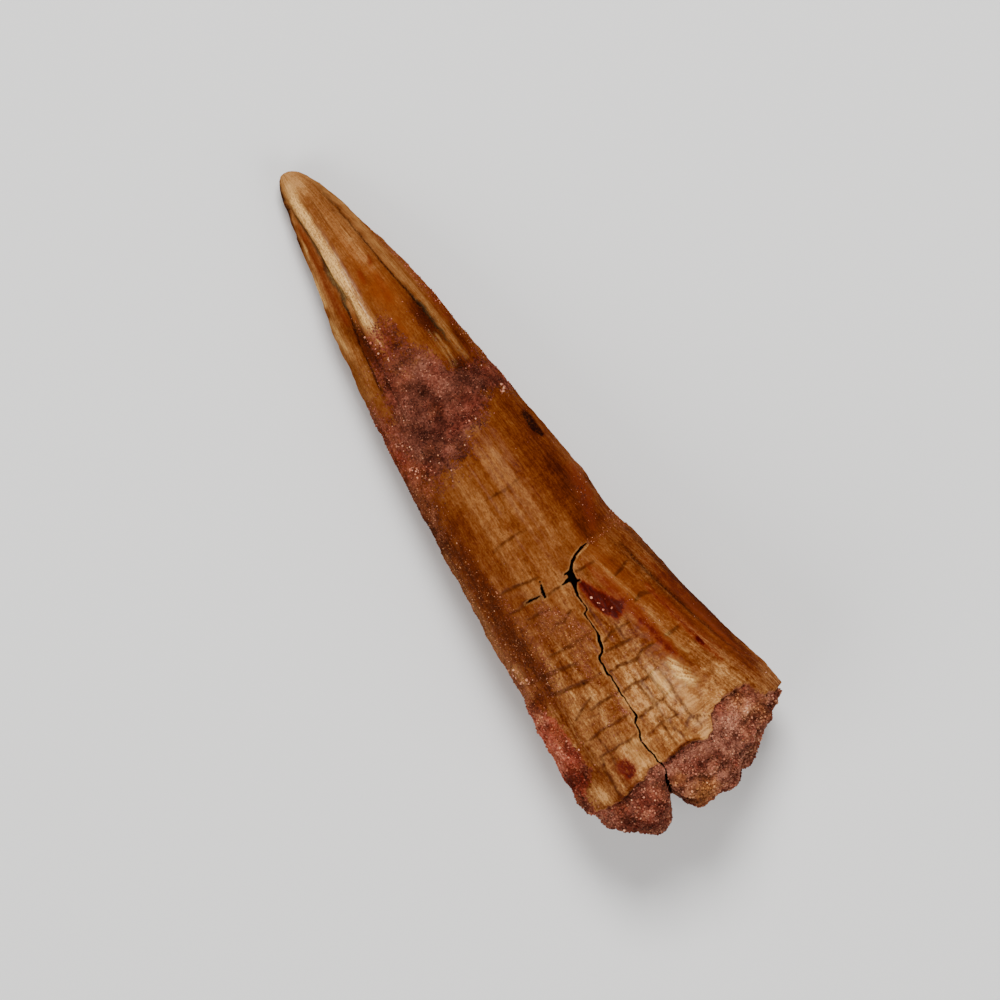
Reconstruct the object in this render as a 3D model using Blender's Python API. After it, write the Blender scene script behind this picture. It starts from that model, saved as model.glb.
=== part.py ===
"""Fossil tooth crown of a spinosaur, lying on its flatter side.

The tooth is one grown piece with the sand that is cemented to it, so it is one closed mesh: rings of
points from the rounded tip to the broken root end, each ring an oval that is worked out from its
distance from the tip. X runs along the tooth towards its tip, Y across it and Z up. Sizes here are in
millimetres, and become metres when the mesh is made.

A turn is the angle round a ring: 0 at the top, positive towards +Y, and pi underneath.
"""

from math import pi

import bmesh
import bpy
import numpy as np

MM = 0.001

# Outline from above: (distance from the tip, half width) on the +Y side and on the -Y side.
PLUS_EDGE = (
    (0.0, 0.0), (0.3, 1.0), (1.1, 1.55), (3.4, 2.2), (6.0, 2.85), (9.6, 3.6), (13.6, 4.7), (18.1, 5.55),
    (27.4, 6.95), (39.1, 8.4), (47.7, 9.3), (55.0, 9.75), (62.0, 10.45), (66.0, 10.6),
)
MINUS_EDGE = (
    (0.0, 0.0), (0.4, 0.5), (1.1, 1.0), (2.2, 1.5), (5.0, 2.4), (8.4, 3.15), (12.4, 4.0), (16.7, 4.6),
    (22.0, 5.1), (30.3, 5.95), (39.3, 6.9), (44.7, 7.1), (46.2, 7.55), (53.1, 8.65), (59.3, 9.75),
    (63.6, 10.75), (66.0, 11.0),
)

# Side view: (distance from the tip, height). The middle line is where an oval is widest, and the top
# stands this far above it. An oval reaches a little less far below, by this share. From 22 on its underside
# would come 0.2 below what the tooth lies on, and is worn flat there; nearer the tip it lifts clear.
MIDDLE_LINE = (
    (0.0, 1.85), (5.0, 2.45), (12.0, 3.15), (22.0, 3.99), (39.0, 5.5), (50.0, 6.47), (60.0, 7.44),
    (66.0, 7.85),
)
TOP_RISE = (
    (0.0, 0.0), (0.3, 0.55), (1.1, 1.05), (3.4, 1.65), (8.4, 2.65), (16.7, 3.95), (27.4, 5.1), (39.0, 6.2),
    (50.0, 7.25), (60.0, 8.3), (66.0, 8.75),
)
DEPTH_SHARE = 0.92

# Root end: where the enamel stops, as (turn in degrees, distance), and the outline of the broken end,
# as (across, distance).
ENAMEL_STOPS = (
    (-180, 65.2), (-150, 64.6), (-120, 65.8), (-82, 66.0), (-58, 66.0), (-51, 63.8), (-32, 63.7),
    (-21, 64.3), (-17, 65.8), (-11, 66.0), (-5, 65.4), (11, 65.5), (21, 65.3), (29, 66.0), (60, 66.3),
    (75, 66.0), (110, 64.8), (150, 65.9), (180, 65.2),
)
END_OUTLINE = (
    (-11.0, 67.2), (-8.5, 68.5), (-5.4, 70.2), (-2.0, 71.6), (1.7, 71.3), (5.0, 71.1), (8.7, 70.6),
    (11.0, 69.6),
)
LEDGE = 0.5
LEDGE_RUN = 0.15
ROOT_LUMPS = 0.45

# The notch between the two lobes of the root end, through its whole thickness, and the main crack that
# runs up from it.
NOTCH_ACROSS = 3.4
NOTCH_DEPTH = 2.5
NOTCH_HALF_WIDTH = 0.85
CRACK = (
    (35.0, 0.0), (38.0, -0.4), (41.5, -2.1), (43.6, -3.2), (44.5, -3.4), (45.2, -1.9), (45.9, -1.0),
    (47.2, -0.3), (48.4, 0.1), (49.6, 0.2), (50.3, 0.6), (52.4, 0.6), (53.6, 1.1), (54.4, 1.8), (59.0, 1.9),
    (60.8, 2.1), (61.8, 2.5), (63.0, 2.85), (65.0, 2.7), (66.2, 2.7), (69.0, 3.2),
)
CRACK_WIDTH = (
    (44.4, 0.2), (45.2, 0.45), (46.0, 0.6), (46.8, 1.1), (48.2, 0.5), (60.0, 0.45), (66.0, 0.5), (69.0, 0.9),
)
CRACK_DEPTH = ((44.2, 0.0), (45.0, 0.5), (46.8, 1.2), (48.4, 0.6), (60.0, 0.6), (66.0, 0.7), (69.0, 1.4))
CRACK_STARTS = 44.3

# Long furrows of the tip's upper face, as (distance from the tip, across). A rounded ridge stands beside
# each of them.
PLUS_FURROW = ((2.0, 1.7), (5.0, 1.95), (9.0, 2.15), (14.0, 2.5), (18.0, 3.2), (24.0, 4.0), (30.0, 5.0))
MINUS_FURROW = ((3.0, -1.6), (7.0, -2.2), (12.0, -2.75), (18.0, -3.15), (24.0, -3.4), (30.0, -3.9))
FURROW_DEPTH = 0.34
FURROW_HALF_WIDTH = 0.42
RIDGE_HEIGHT = 0.26
RIDGE_HALF_WIDTH = 0.7
PLUS_RIDGE_OFFSET = -1.0
MINUS_RIDGE_OFFSET = -0.75

# Side edges (the carinae), which are chipped, and the flutes that run the length of the enamel.
CARINA_HEIGHT = 0.16
CARINA_HALF_TURN = 0.11
CARINA_FADES = (46.0, 54.0)
CHIP_DEPTH = 0.14
FLUTES = 18
FLUTE_HEIGHT = 0.08

# Sand cemented to the enamel: a saddle across the middle and a crust on the +Y margin near the root.
SADDLE_FROM = 18.0
SADDLE_TO = 31.0
SADDLE_HEIGHT = 0.28
CRUST_FROM = 54.0
CRUST_TO = 64.5
CRUST_ACROSS = 8.3
CRUST_HEIGHT = 0.5
SAND_LUMPS = 0.12

# How the surface is divided: rings along the tooth and columns round it.
TIP_RINGS = 5
TIP_RINGS_END = 3.2
SHAFT_RINGS = 28
SHAFT_RINGS_END = 43.9
HOOK_RINGS = 7
HOOK_RINGS_END = 46.5
CRACK_RINGS = 14
CRACK_RINGS_END = 58.0
MARGIN_RINGS = 4
END_RINGS = 11
END_FIRST_TILT = 0.12
END_LAST_TILT = 1.53
SIDE_COLUMNS = 18
LOW_COLUMNS = 14
FIRST_COLUMN = 0.16
LIP_RELAXED = 0.05
SHOULDER_RELAXED = 0.105
SHOULDER_RUN = 0.6


def smooth_curve(points, at):
    """Value at each place of a smooth curve through (place, value) points, level with the first and last."""
    places, values = np.array(points, float).T
    slopes = np.gradient(values, places)
    at = np.clip(at, places[0], places[-1])
    low = np.clip(np.searchsorted(places, at) - 1, 0, len(places) - 2)
    gap = places[low + 1] - places[low]
    t = (at - places[low]) / gap
    return (
        (2 * t**3 - 3 * t**2 + 1) * values[low]
        + (t**3 - 2 * t**2 + t) * gap * slopes[low]
        + (3 * t**2 - 2 * t**3) * values[low + 1]
        + (t**3 - t**2) * gap * slopes[low + 1]
    )


def straight_curve(points, at):
    """Value at each place of straight runs through (place, value) points."""
    return np.interp(at, *np.array(points, float).T)


def soft_step(value, start, end):
    """0 before start, 1 after end, and a smooth rise between."""
    t = np.clip((value - start) / (end - start), 0, 1)
    return t * t * (3 - 2 * t)


def bump(value, centre, half_width):
    """A bell of height 1 at the centre."""
    return np.exp(-(((value - centre) / half_width) ** 2))


def lumps(distance, across, height, size, seed):
    """Rounded lumps of about this size, from -1 to 1: a sum of waves in seeded directions."""
    rng = np.random.default_rng(seed)
    total = np.zeros_like(distance)
    waves = 7
    for _ in range(waves):
        way = rng.normal(size=3)
        way *= rng.uniform(0.7, 1.5) * 2 * pi / (size * np.linalg.norm(way))
        total += np.sin(way[0] * distance + way[1] * across + way[2] * height + rng.uniform(0, 2 * pi))
    return np.clip(total / waves**0.5, -1, 1)


def edge_half_width(distance, turn):
    """Half width of the tooth on the side that the turn points to."""
    return np.where(turn >= 0, smooth_curve(PLUS_EDGE, distance), smooth_curve(MINUS_EDGE, distance))


def crack_turn(distance):
    """Turn at which the main crack lies, and past its upper end the way back to the middle."""
    across = smooth_curve(CRACK, distance)
    share = across / edge_half_width(distance, across)
    return np.arcsin(np.clip(share, -0.9, 0.9))


def column_turns(distance):
    """Turn of every column on a ring. The five middle columns are the crack's floor, lips and shoulders."""
    half_width = edge_half_width(distance, crack_turn(distance))
    cracked = soft_step(distance, CRACK_STARTS - 3.0, CRACK_STARTS)
    lip = np.interp(cracked, (0, 1), (LIP_RELAXED, 0.5 * straight_curve(CRACK_WIDTH, distance) / half_width))
    shoulder = np.interp(cracked, (0, 1), (SHOULDER_RELAXED, lip + SHOULDER_RUN / half_width))
    side = np.linspace(FIRST_COLUMN, pi / 2, SIDE_COLUMNS)
    low = np.linspace(pi / 2, pi, LOW_COLUMNS, endpoint=False)[1:]
    half = np.concatenate(((lip, shoulder), side, low))
    turns = np.concatenate(((-pi,), -half[::-1], (0.0,), half))
    upper = np.where(np.abs(turns) < pi / 2, np.cos(turns) ** 2, 0.0)
    return turns + upper * crack_turn(distance)


def relief(distance, turn, across, height):
    """How far the surface stands proud of the plain ovals, on the enamel."""
    top = soft_step(np.cos(turn), 0.0, 0.25)
    at_tip = soft_step(distance, 1.0, 5.0) * (1 - soft_step(distance, 24.0, 31.0))
    plus_furrow = smooth_curve(PLUS_FURROW, distance)
    minus_furrow = smooth_curve(MINUS_FURROW, distance)
    furrows = bump(across, plus_furrow, FURROW_HALF_WIDTH) + bump(across, minus_furrow, FURROW_HALF_WIDTH)
    ridges = bump(across, plus_furrow + PLUS_RIDGE_OFFSET, RIDGE_HALF_WIDTH) + bump(
        across, minus_furrow + MINUS_RIDGE_OFFSET, RIDGE_HALF_WIDTH
    )
    tip_face = top * at_tip * (RIDGE_HEIGHT * ridges - FURROW_DEPTH * furrows)

    at_edge = bump(np.abs(turn), pi / 2, CARINA_HALF_TURN) * soft_step(distance, 0.6, 3.0)
    chips = CHIP_DEPTH * lumps(distance, across * 0.1, height * 0.1, 2.6, 11)
    carina = at_edge * (1 - soft_step(distance, *CARINA_FADES)) * (CARINA_HEIGHT + chips)

    flutes = FLUTE_HEIGHT * np.cos(FLUTES * turn) * soft_step(distance, 5.0, 14.0)

    rough = SAND_LUMPS * lumps(distance, across, height, 2.2, 5)
    wander = 1.5 * lumps(distance, across, height, 7.0, 3)
    saddle = soft_step(distance + wander, SADDLE_FROM, SADDLE_FROM + 3)
    saddle = saddle * (1 - soft_step(distance + wander + 0.45 * across, SADDLE_TO, SADDLE_TO + 1.5))
    saddle_sand = top * saddle * (SADDLE_HEIGHT + rough)

    margin = soft_step(across, CRUST_ACROSS, CRUST_ACROSS + 0.7) * soft_step(np.cos(turn), -0.35, 0.0)
    crust = soft_step(distance, CRUST_FROM, CRUST_FROM + 3)
    crust = crust * (1 - soft_step(distance, CRUST_TO - 1.2, CRUST_TO))
    crust_sand = margin * crust * (CRUST_HEIGHT + 1.5 * rough)
    return tip_face + carina + flutes + saddle_sand + crust_sand


def oval(distance, turn, shrink_across, shrink_up):
    """Across and height of points on the plain ovals, and the outward direction there."""
    half_width = edge_half_width(distance, turn)
    rise = np.where(np.cos(turn) >= 0, 1.0, DEPTH_SHARE) * smooth_curve(TOP_RISE, distance)
    across = half_width * np.sin(turn) * shrink_across
    height = smooth_curve(MIDDLE_LINE, distance) + rise * np.cos(turn) * shrink_up
    out_across = rise * np.sin(turn)
    out_up = half_width * np.cos(turn)
    length = np.hypot(out_across, out_up)
    return across, height, out_across / length, out_up / length


def crack_drop(distance, turn):
    """Depth of the main crack: full on its floor column and nothing at its lips."""
    half_width = edge_half_width(distance, turn)
    off = np.abs(turn - crack_turn(distance)) * half_width
    half_gap = 0.5 * straight_curve(CRACK_WIDTH, distance)
    return straight_curve(CRACK_DEPTH, distance) * np.clip(1 - off / half_gap, 0, 1)


def shaft_ring(distance, turn, drop=0.0):
    """Points (distance, across, height) of one ring on the enamel."""
    across, height, out_across, out_up = oval(distance, turn, 1.0, 1.0)
    proud = relief(distance, turn, across, height) - crack_drop(distance, turn) - drop
    return distance, across + proud * out_across, height + proud * out_up


def end_ring(start, turn, tilt):
    """Points of one ring on the broken root end. The tilt is 0 at the ledge and pi / 2 at the middle."""
    across, height, out_across, out_up = oval(start, turn, np.cos(tilt) ** 0.5, np.cos(tilt) ** 0.7)
    notch = NOTCH_DEPTH * bump(across, NOTCH_ACROSS, NOTCH_HALF_WIDTH)
    distance = start + (smooth_curve(END_OUTLINE, across) - notch - start) * np.sin(tilt) ** 0.6
    rough = ROOT_LUMPS * lumps(distance, across, height, 3.4, 8)
    rough = rough + SAND_LUMPS * lumps(distance, across, height, 1.8, 2)
    proud = (rough * soft_step(tilt, 0.0, 0.4) - LEDGE) * np.cos(tilt)
    proud = proud - crack_drop(distance, turn) * soft_step(np.cos(tilt), 0.6, 0.95)
    return (
        distance + rough * np.sin(tilt) ** 2,
        across + proud * out_across,
        height + proud * out_up,
    )


def tooth_rings():
    """All rings from the tip to the root end, each as an array of (x, y, z) rows in millimetres."""
    tip = TIP_RINGS_END * (np.arange(1, TIP_RINGS + 1) / (TIP_RINGS + 1)) ** 2
    shaft = np.linspace(TIP_RINGS_END, SHAFT_RINGS_END, SHAFT_RINGS, endpoint=False)
    hook = np.linspace(SHAFT_RINGS_END, HOOK_RINGS_END, HOOK_RINGS, endpoint=False)
    cracked = np.linspace(HOOK_RINGS_END, CRACK_RINGS_END, CRACK_RINGS)
    rings = []
    for distance in np.concatenate((tip, shaft, hook, cracked)):
        turn = column_turns(distance)
        rings.append(shaft_ring(np.full_like(turn, distance), turn))

    # From here the rings lean, so that the last ones lie along the edge of the enamel.
    for share in np.linspace(0, 1, MARGIN_RINGS + 1)[1:]:
        turn = column_turns(CRACK_RINGS_END + share * (ENAMEL_STOPS[0][1] - CRACK_RINGS_END))
        stops = straight_curve(ENAMEL_STOPS, np.degrees(turn))
        rings.append(shaft_ring(CRACK_RINGS_END + share * (stops - CRACK_RINGS_END), turn))
    rings.append(shaft_ring(stops + LEDGE_RUN, turn, LEDGE))
    for tilt in np.linspace(END_FIRST_TILT, END_LAST_TILT, END_RINGS):
        rings.append(end_ring(stops + LEDGE_RUN, turn, tilt))
    return [
        np.column_stack((-distance, across, np.maximum(height, 0)))
        for distance, across, height in rings
    ]


def finish(name, colour, roughness):
    """A plain material with this colour and roughness."""
    material = bpy.data.materials.new(name)
    material.use_nodes = True
    shader = material.node_tree.nodes["Principled BSDF"]
    shader.inputs["Base Color"].default_value = (*colour, 1)
    shader.inputs["Roughness"].default_value = roughness
    shader.inputs["Metallic"].default_value = 0
    return material


def is_sandy(face, tip_x):
    """Whether a face lies on cemented sand: the root end, the saddle or the crust."""
    centre = face.calc_center_median() / MM
    distance = tip_x - centre.x
    on_saddle = SADDLE_FROM + 2 < distance < SADDLE_TO and centre.z > smooth_curve(MIDDLE_LINE, distance)
    on_crust = CRUST_FROM < distance < CRUST_TO and centre.y > CRUST_ACROSS
    return distance > ENAMEL_STOPS[-1][1] or on_saddle or on_crust


def make_tooth():
    """Joins the rings into one closed skin, centred over the origin with its underside at height 0."""
    rings = tooth_rings()
    tip = np.array((0.0, 0.0, MIDDLE_LINE[0][1]))
    root = rings[-1].mean(axis=0)
    points = np.concatenate((tip[None], *rings, root[None]))
    middle = (points.max(axis=0) + points.min(axis=0)) / 2
    offset = np.array((middle[0], middle[1], 0))

    bm = bmesh.new()
    tip_vertex = bm.verts.new((tip - offset) * MM)
    loops = [[bm.verts.new((point - offset) * MM) for point in ring] for ring in rings]
    root_vertex = bm.verts.new((root - offset) * MM)
    columns = len(loops[0])
    for i in range(columns):
        after = (i + 1) % columns
        bm.faces.new((tip_vertex, loops[0][i], loops[0][after]))
        bm.faces.new((root_vertex, loops[-1][after], loops[-1][i]))
        for ring, following in zip(loops, loops[1:]):
            bm.faces.new((ring[i], following[i], following[after], ring[after]))
    bmesh.ops.recalc_face_normals(bm, faces=bm.faces)
    for face in bm.faces:
        face.material_index = int(is_sandy(face, tip[0] - offset[0]))
    mesh = bpy.data.meshes.new("tooth")
    bm.to_mesh(mesh)
    bm.free()
    mesh.shade_smooth()

    tooth = bpy.data.objects.new("tooth", mesh)
    bpy.context.collection.objects.link(tooth)
    mesh.materials.append(finish("fossil enamel", (0.42, 0.20, 0.06), 0.35))
    mesh.materials.append(finish("cemented sand", (0.28, 0.12, 0.09), 0.85))
    return tooth


for leftover in list(bpy.data.objects):
    bpy.data.objects.remove(leftover, do_unlink=True)
make_tooth()
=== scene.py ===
"""A fossil spinosaur tooth: fluted enamel, a branching crack, cemented sand and a broken root end.

The tooth lies along X with its tip at +X. Its surface is worked out in the tooth's own measures, all in
millimetres: the distance from the tip, how far a point lies across the tooth (+ towards +Y), and the turn
round it (0 on top, + towards +Y, pi underneath).
"""

from __future__ import annotations

import itertools
import logging
from dataclasses import dataclass
from enum import Enum
from math import pi
from typing import Sequence

import bmesh
import bpy
import numpy as np
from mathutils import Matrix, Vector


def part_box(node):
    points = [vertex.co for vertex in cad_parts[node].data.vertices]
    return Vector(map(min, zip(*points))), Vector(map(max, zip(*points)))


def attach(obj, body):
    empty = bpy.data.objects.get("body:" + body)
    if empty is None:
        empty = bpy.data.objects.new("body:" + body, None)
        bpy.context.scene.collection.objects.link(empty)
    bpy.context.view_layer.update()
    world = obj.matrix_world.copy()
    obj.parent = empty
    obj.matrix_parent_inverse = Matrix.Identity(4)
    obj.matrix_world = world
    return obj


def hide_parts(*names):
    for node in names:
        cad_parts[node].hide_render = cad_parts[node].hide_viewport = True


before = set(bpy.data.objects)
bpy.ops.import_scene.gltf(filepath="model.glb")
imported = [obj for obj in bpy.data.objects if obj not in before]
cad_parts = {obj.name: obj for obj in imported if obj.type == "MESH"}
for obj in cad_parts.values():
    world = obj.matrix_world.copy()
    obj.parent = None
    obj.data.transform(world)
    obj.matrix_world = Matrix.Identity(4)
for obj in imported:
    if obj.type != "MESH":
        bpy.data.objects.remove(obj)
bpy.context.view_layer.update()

MM = 0.001
LOG = logging.getLogger("tooth")
CORNER_PRIMES = (73856093, 19349663, 83492791)
SEED_PRIME = 2654435
MIXING_PRIME = 1274126177
LOW_31_BITS = 0x7FFFFFFF
LOW_16_BITS = 0xFFFF

Span = tuple[float, float]
Rise = tuple[float, float, float, float]
Curve = Sequence[Span]
Triple = tuple[float, float, float]
Stroke = Sequence[Triple]
Hue = tuple[int, int, int]
Ramp = Sequence[tuple[float, Hue]]
Array = np.ndarray
Socket = bpy.types.NodeSocket
Masks = dict[str, Array]


def smooth_curve(points: Curve, at: Array) -> Array:
    """Value of a smooth curve: a cubic between each two points, with the mean slope at each point.

    Args:
        points: (place, value) pairs in rising order of place.
        at: the places to read it at. Past either end the value stays level.

    Returns:
        The value at each place.
    """
    places, values = np.array(points, float).T
    slopes = np.gradient(values, places)
    at = np.clip(at, places[0], places[-1])
    low = np.clip(np.searchsorted(places, at) - 1, 0, len(places) - 2)
    gap = places[low + 1] - places[low]
    t = (at - places[low]) / gap
    return (
        (2 * t**3 - 3 * t**2 + 1) * values[low]
        + (t**3 - 2 * t**2 + t) * gap * slopes[low]
        + (3 * t**2 - 2 * t**3) * values[low + 1]
        + (t**3 - t**2) * gap * slopes[low + 1]
    )


def straight_curve(points: Curve, at: Array) -> Array:
    """Value at each place of straight runs between (place, value) pairs in rising order of place."""
    return np.interp(at, *np.array(points, float).T)


def soft_step(value: Array, start: float, end: float) -> Array:
    """A smooth rise: 0 before start, 1 after end, and 3 t^2 - 2 t^3 between.

    Args:
        value: where to read it.
        start: where it leaves 0.
        end: where it reaches 1. An end before the start makes a fall.

    Returns:
        The height of the rise at each value.
    """
    t = np.clip((value - start) / (end - start), 0, 1)
    return t * t * (3 - 2 * t)


def bell(value: Array, centre: Array | float, half_width: float) -> Array:
    """A bell of height 1: e to the minus square of the distance from its centre in half widths."""
    return np.exp(-(((value - centre) / half_width) ** 2))


def value_noise(cells: Array, seed: int) -> Array:
    """Smooth random values: every whole-numbered corner has its own value, blended between corners.

    Args:
        cells: coordinates in cells, along the last axis.
        seed: which set of corner values to use.

    Returns:
        Values from 0 to 1, one for each point.
    """
    primes = np.array(CORNER_PRIMES)[: cells.shape[-1]]
    low = np.floor(cells).astype(np.int64)
    t = cells - low
    t = t * t * (3 - 2 * t)
    total = np.zeros(cells.shape[:-1])
    for corner in itertools.product((0, 1), repeat=cells.shape[-1]):
        weight = np.prod(np.where(np.array(corner, bool), t, 1 - t), axis=-1)
        mixed = ((low + corner) * primes).sum(axis=-1) + seed * SEED_PRIME
        mixed = ((mixed ^ (mixed >> 13)) & LOW_31_BITS) * MIXING_PRIME
        total += weight * (((mixed ^ (mixed >> 16)) & LOW_16_BITS) / LOW_16_BITS)
    return total


def rough(points: Array, size: float, seed: int, octaves: int = 3) -> Array:
    """Fractal noise: layers of value noise, each half as large and half as strong as the last.

    Args:
        points: coordinates in millimetres, along the last axis.
        size: size of the largest lumps.
        seed: which set of random values to use.
        octaves: how many layers there are.

    Returns:
        Values from about -0.8 to 0.8, one for each point.
    """
    total = np.zeros(points.shape[:-1])
    seeds_apart = 17
    for layer in range(octaves):
        values = value_noise(points * 2**layer / size, seed + seeds_apart * layer)
        total += (values - 0.5) * 0.5**layer
    return total


class Texture(Enum):
    """Every noise of the surface: its strength, largest lumps' size, seed, and layers if not three."""

    JAGGED_EDGE = (0.5, 0.22, 31)
    TOOTHED_EDGE = (0.24, 0.05, 32)
    SAND_BORDER = (1.4, 1.9, 41)
    GRITTY_BORDER = (1.7, 0.45, 42)
    SWAY_ALONG = (0.16, 0.8, 43)
    SHAKE_ALONG = (0.05, 0.25, 44, 1)
    SWAY_ACROSS = (0.14, 0.8, 45)
    SHAKE_ACROSS = (0.05, 0.25, 46, 1)
    WRINKLES = (0.05, 0.5, 49, 2)
    RIPPLES = (0.035, 0.8, 50, 2)
    RIDGES = (0.2, 1.9, 51, 2)
    SMALL_RIDGES = (0.1, 0.6, 52, 2)
    FURROW_SWAY = (0.16, 1.1, 53)
    CHIPS = (1.0, 1.7, 54, 4)
    GRAIN = (1.0, 0.34, 55, 2)
    SADDLE_LUMPS = (0.16, 2.0, 56)
    CRUST_LUMPS = (0.3, 1.5, 57)
    ROOT_LUMPS = (0.5, 1.5, 58)
    FLAKES = (1.0, 2.4, 59)
    DRIFT_ACROSS = (0.5, 2.2, 60)
    STREAK_TONE = (0.16, 1.3, 61)
    CLOUD_TONE = (0.14, 5.0, 62)
    DUST_PATCHES = (1.0, 3.0, 63)
    UNDERSIDE_PATCHES = (1.0, 6.0, 64)
    DRIFT_ALONG = (1.2, 2.6, 65)
    SEAM_SWAY = (0.2, 0.7, 66)
    SAND_TONE = (1.0, 1.3, 68)
    ROSY_TONE = (0.5, 1.7, 69)
    OCHRE_TONE = (0.35, 1.4, 70)
    SPECK_TONE = (1.0, 0.7, 71)

    def on(self, points: Array) -> Array:
        """The noise at each point, from about -0.8 to 0.8 times its strength."""
        strength, *settings = self.value
        return strength * rough(points, *settings)


@dataclass(frozen=True)
class Lumps:
    """Rounded lumps, the same as the solid's: a sum of seven waves in seeded directions."""

    height: float
    size: float
    seed: int
    waves: int = 7
    rates: Span = (0.7, 1.5)

    def on(self, points: Array) -> Array:
        """The lumps' height at each point.

        Args:
            points: distance, across and height, along the last axis.

        Returns:
            From minus to plus their height, one for each point.
        """
        rng = np.random.default_rng(self.seed)
        total = np.zeros(points.shape[:-1])
        for _ in range(self.waves):
            way = rng.normal(size=3)
            way *= rng.uniform(*self.rates) * 2 * pi / (self.size * np.linalg.norm(way))
            total += np.sin(points @ way + rng.uniform(0, 2 * pi))
        return self.height * np.clip(total / self.waves**0.5, -1, 1)


def gap_to(stroke: Stroke, distance: Array, across: Array, reach: float = 1.0) -> Array:
    """How far each point lies, seen from above, outside the edge of a drawn line.

    Each point is set against its nearest place on each straight run, and the line's half width there is
    taken from the distance to it.

    Args:
        stroke: (distance, across, half width) points along the line.
        distance: distance from the tip of each surface point.
        across: how far across the tooth each surface point lies.
        reach: the largest gap worked out, which all points further off get too.

    Returns:
        The gap in millimetres, below 0 inside the line, one for each surface point.
    """
    gap = np.full_like(distance, reach)
    shortest = 1e-9
    for (a0, y0, w0), (a1, y1, w1) in zip(stroke, stroke[1:]):
        margin = max(w0, w1) + reach
        near = (distance > min(a0, a1) - margin) & (distance < max(a0, a1) + margin)
        near &= (across > min(y0, y1) - margin) & (across < max(y0, y1) + margin)
        da, dy = a1 - a0, y1 - y0
        t = ((distance[near] - a0) * da + (across[near] - y0) * dy) / max(da * da + dy * dy, shortest)
        t = np.clip(t, 0, 1)
        off = np.hypot(distance[near] - a0 - t * da, across[near] - y0 - t * dy)
        gap[near] = np.minimum(gap[near], off - w0 - t * (w1 - w0))
    return gap


def gap_to_all(strokes: Sequence[Stroke], distance: Array, across: Array) -> Array:
    """The smallest gap in millimetres from each surface point to any of several drawn lines."""
    return np.min([gap_to(stroke, distance, across) for stroke in strokes], axis=0)


def shade(red: int, green: int, blue: int) -> tuple[float, float, float, float]:
    """Linear colour with full alpha, for a shader socket, of an 8-bit screen colour.

    Args:
        red: red from 0 to 255.
        green: green from 0 to 255.
        blue: blue from 0 to 255.

    Returns:
        Red, green, blue and alpha, by the sRGB curve: a straight foot and a power above its knee.
    """
    screen = np.array((red, green, blue)) / 255
    knee, slope, lift, power = 0.04045, 12.92, 0.055, 2.4
    linear = np.where(screen <= knee, screen / slope, ((screen + lift) / (1 + lift)) ** power)
    return (*linear.tolist(), 1.0)


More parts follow.
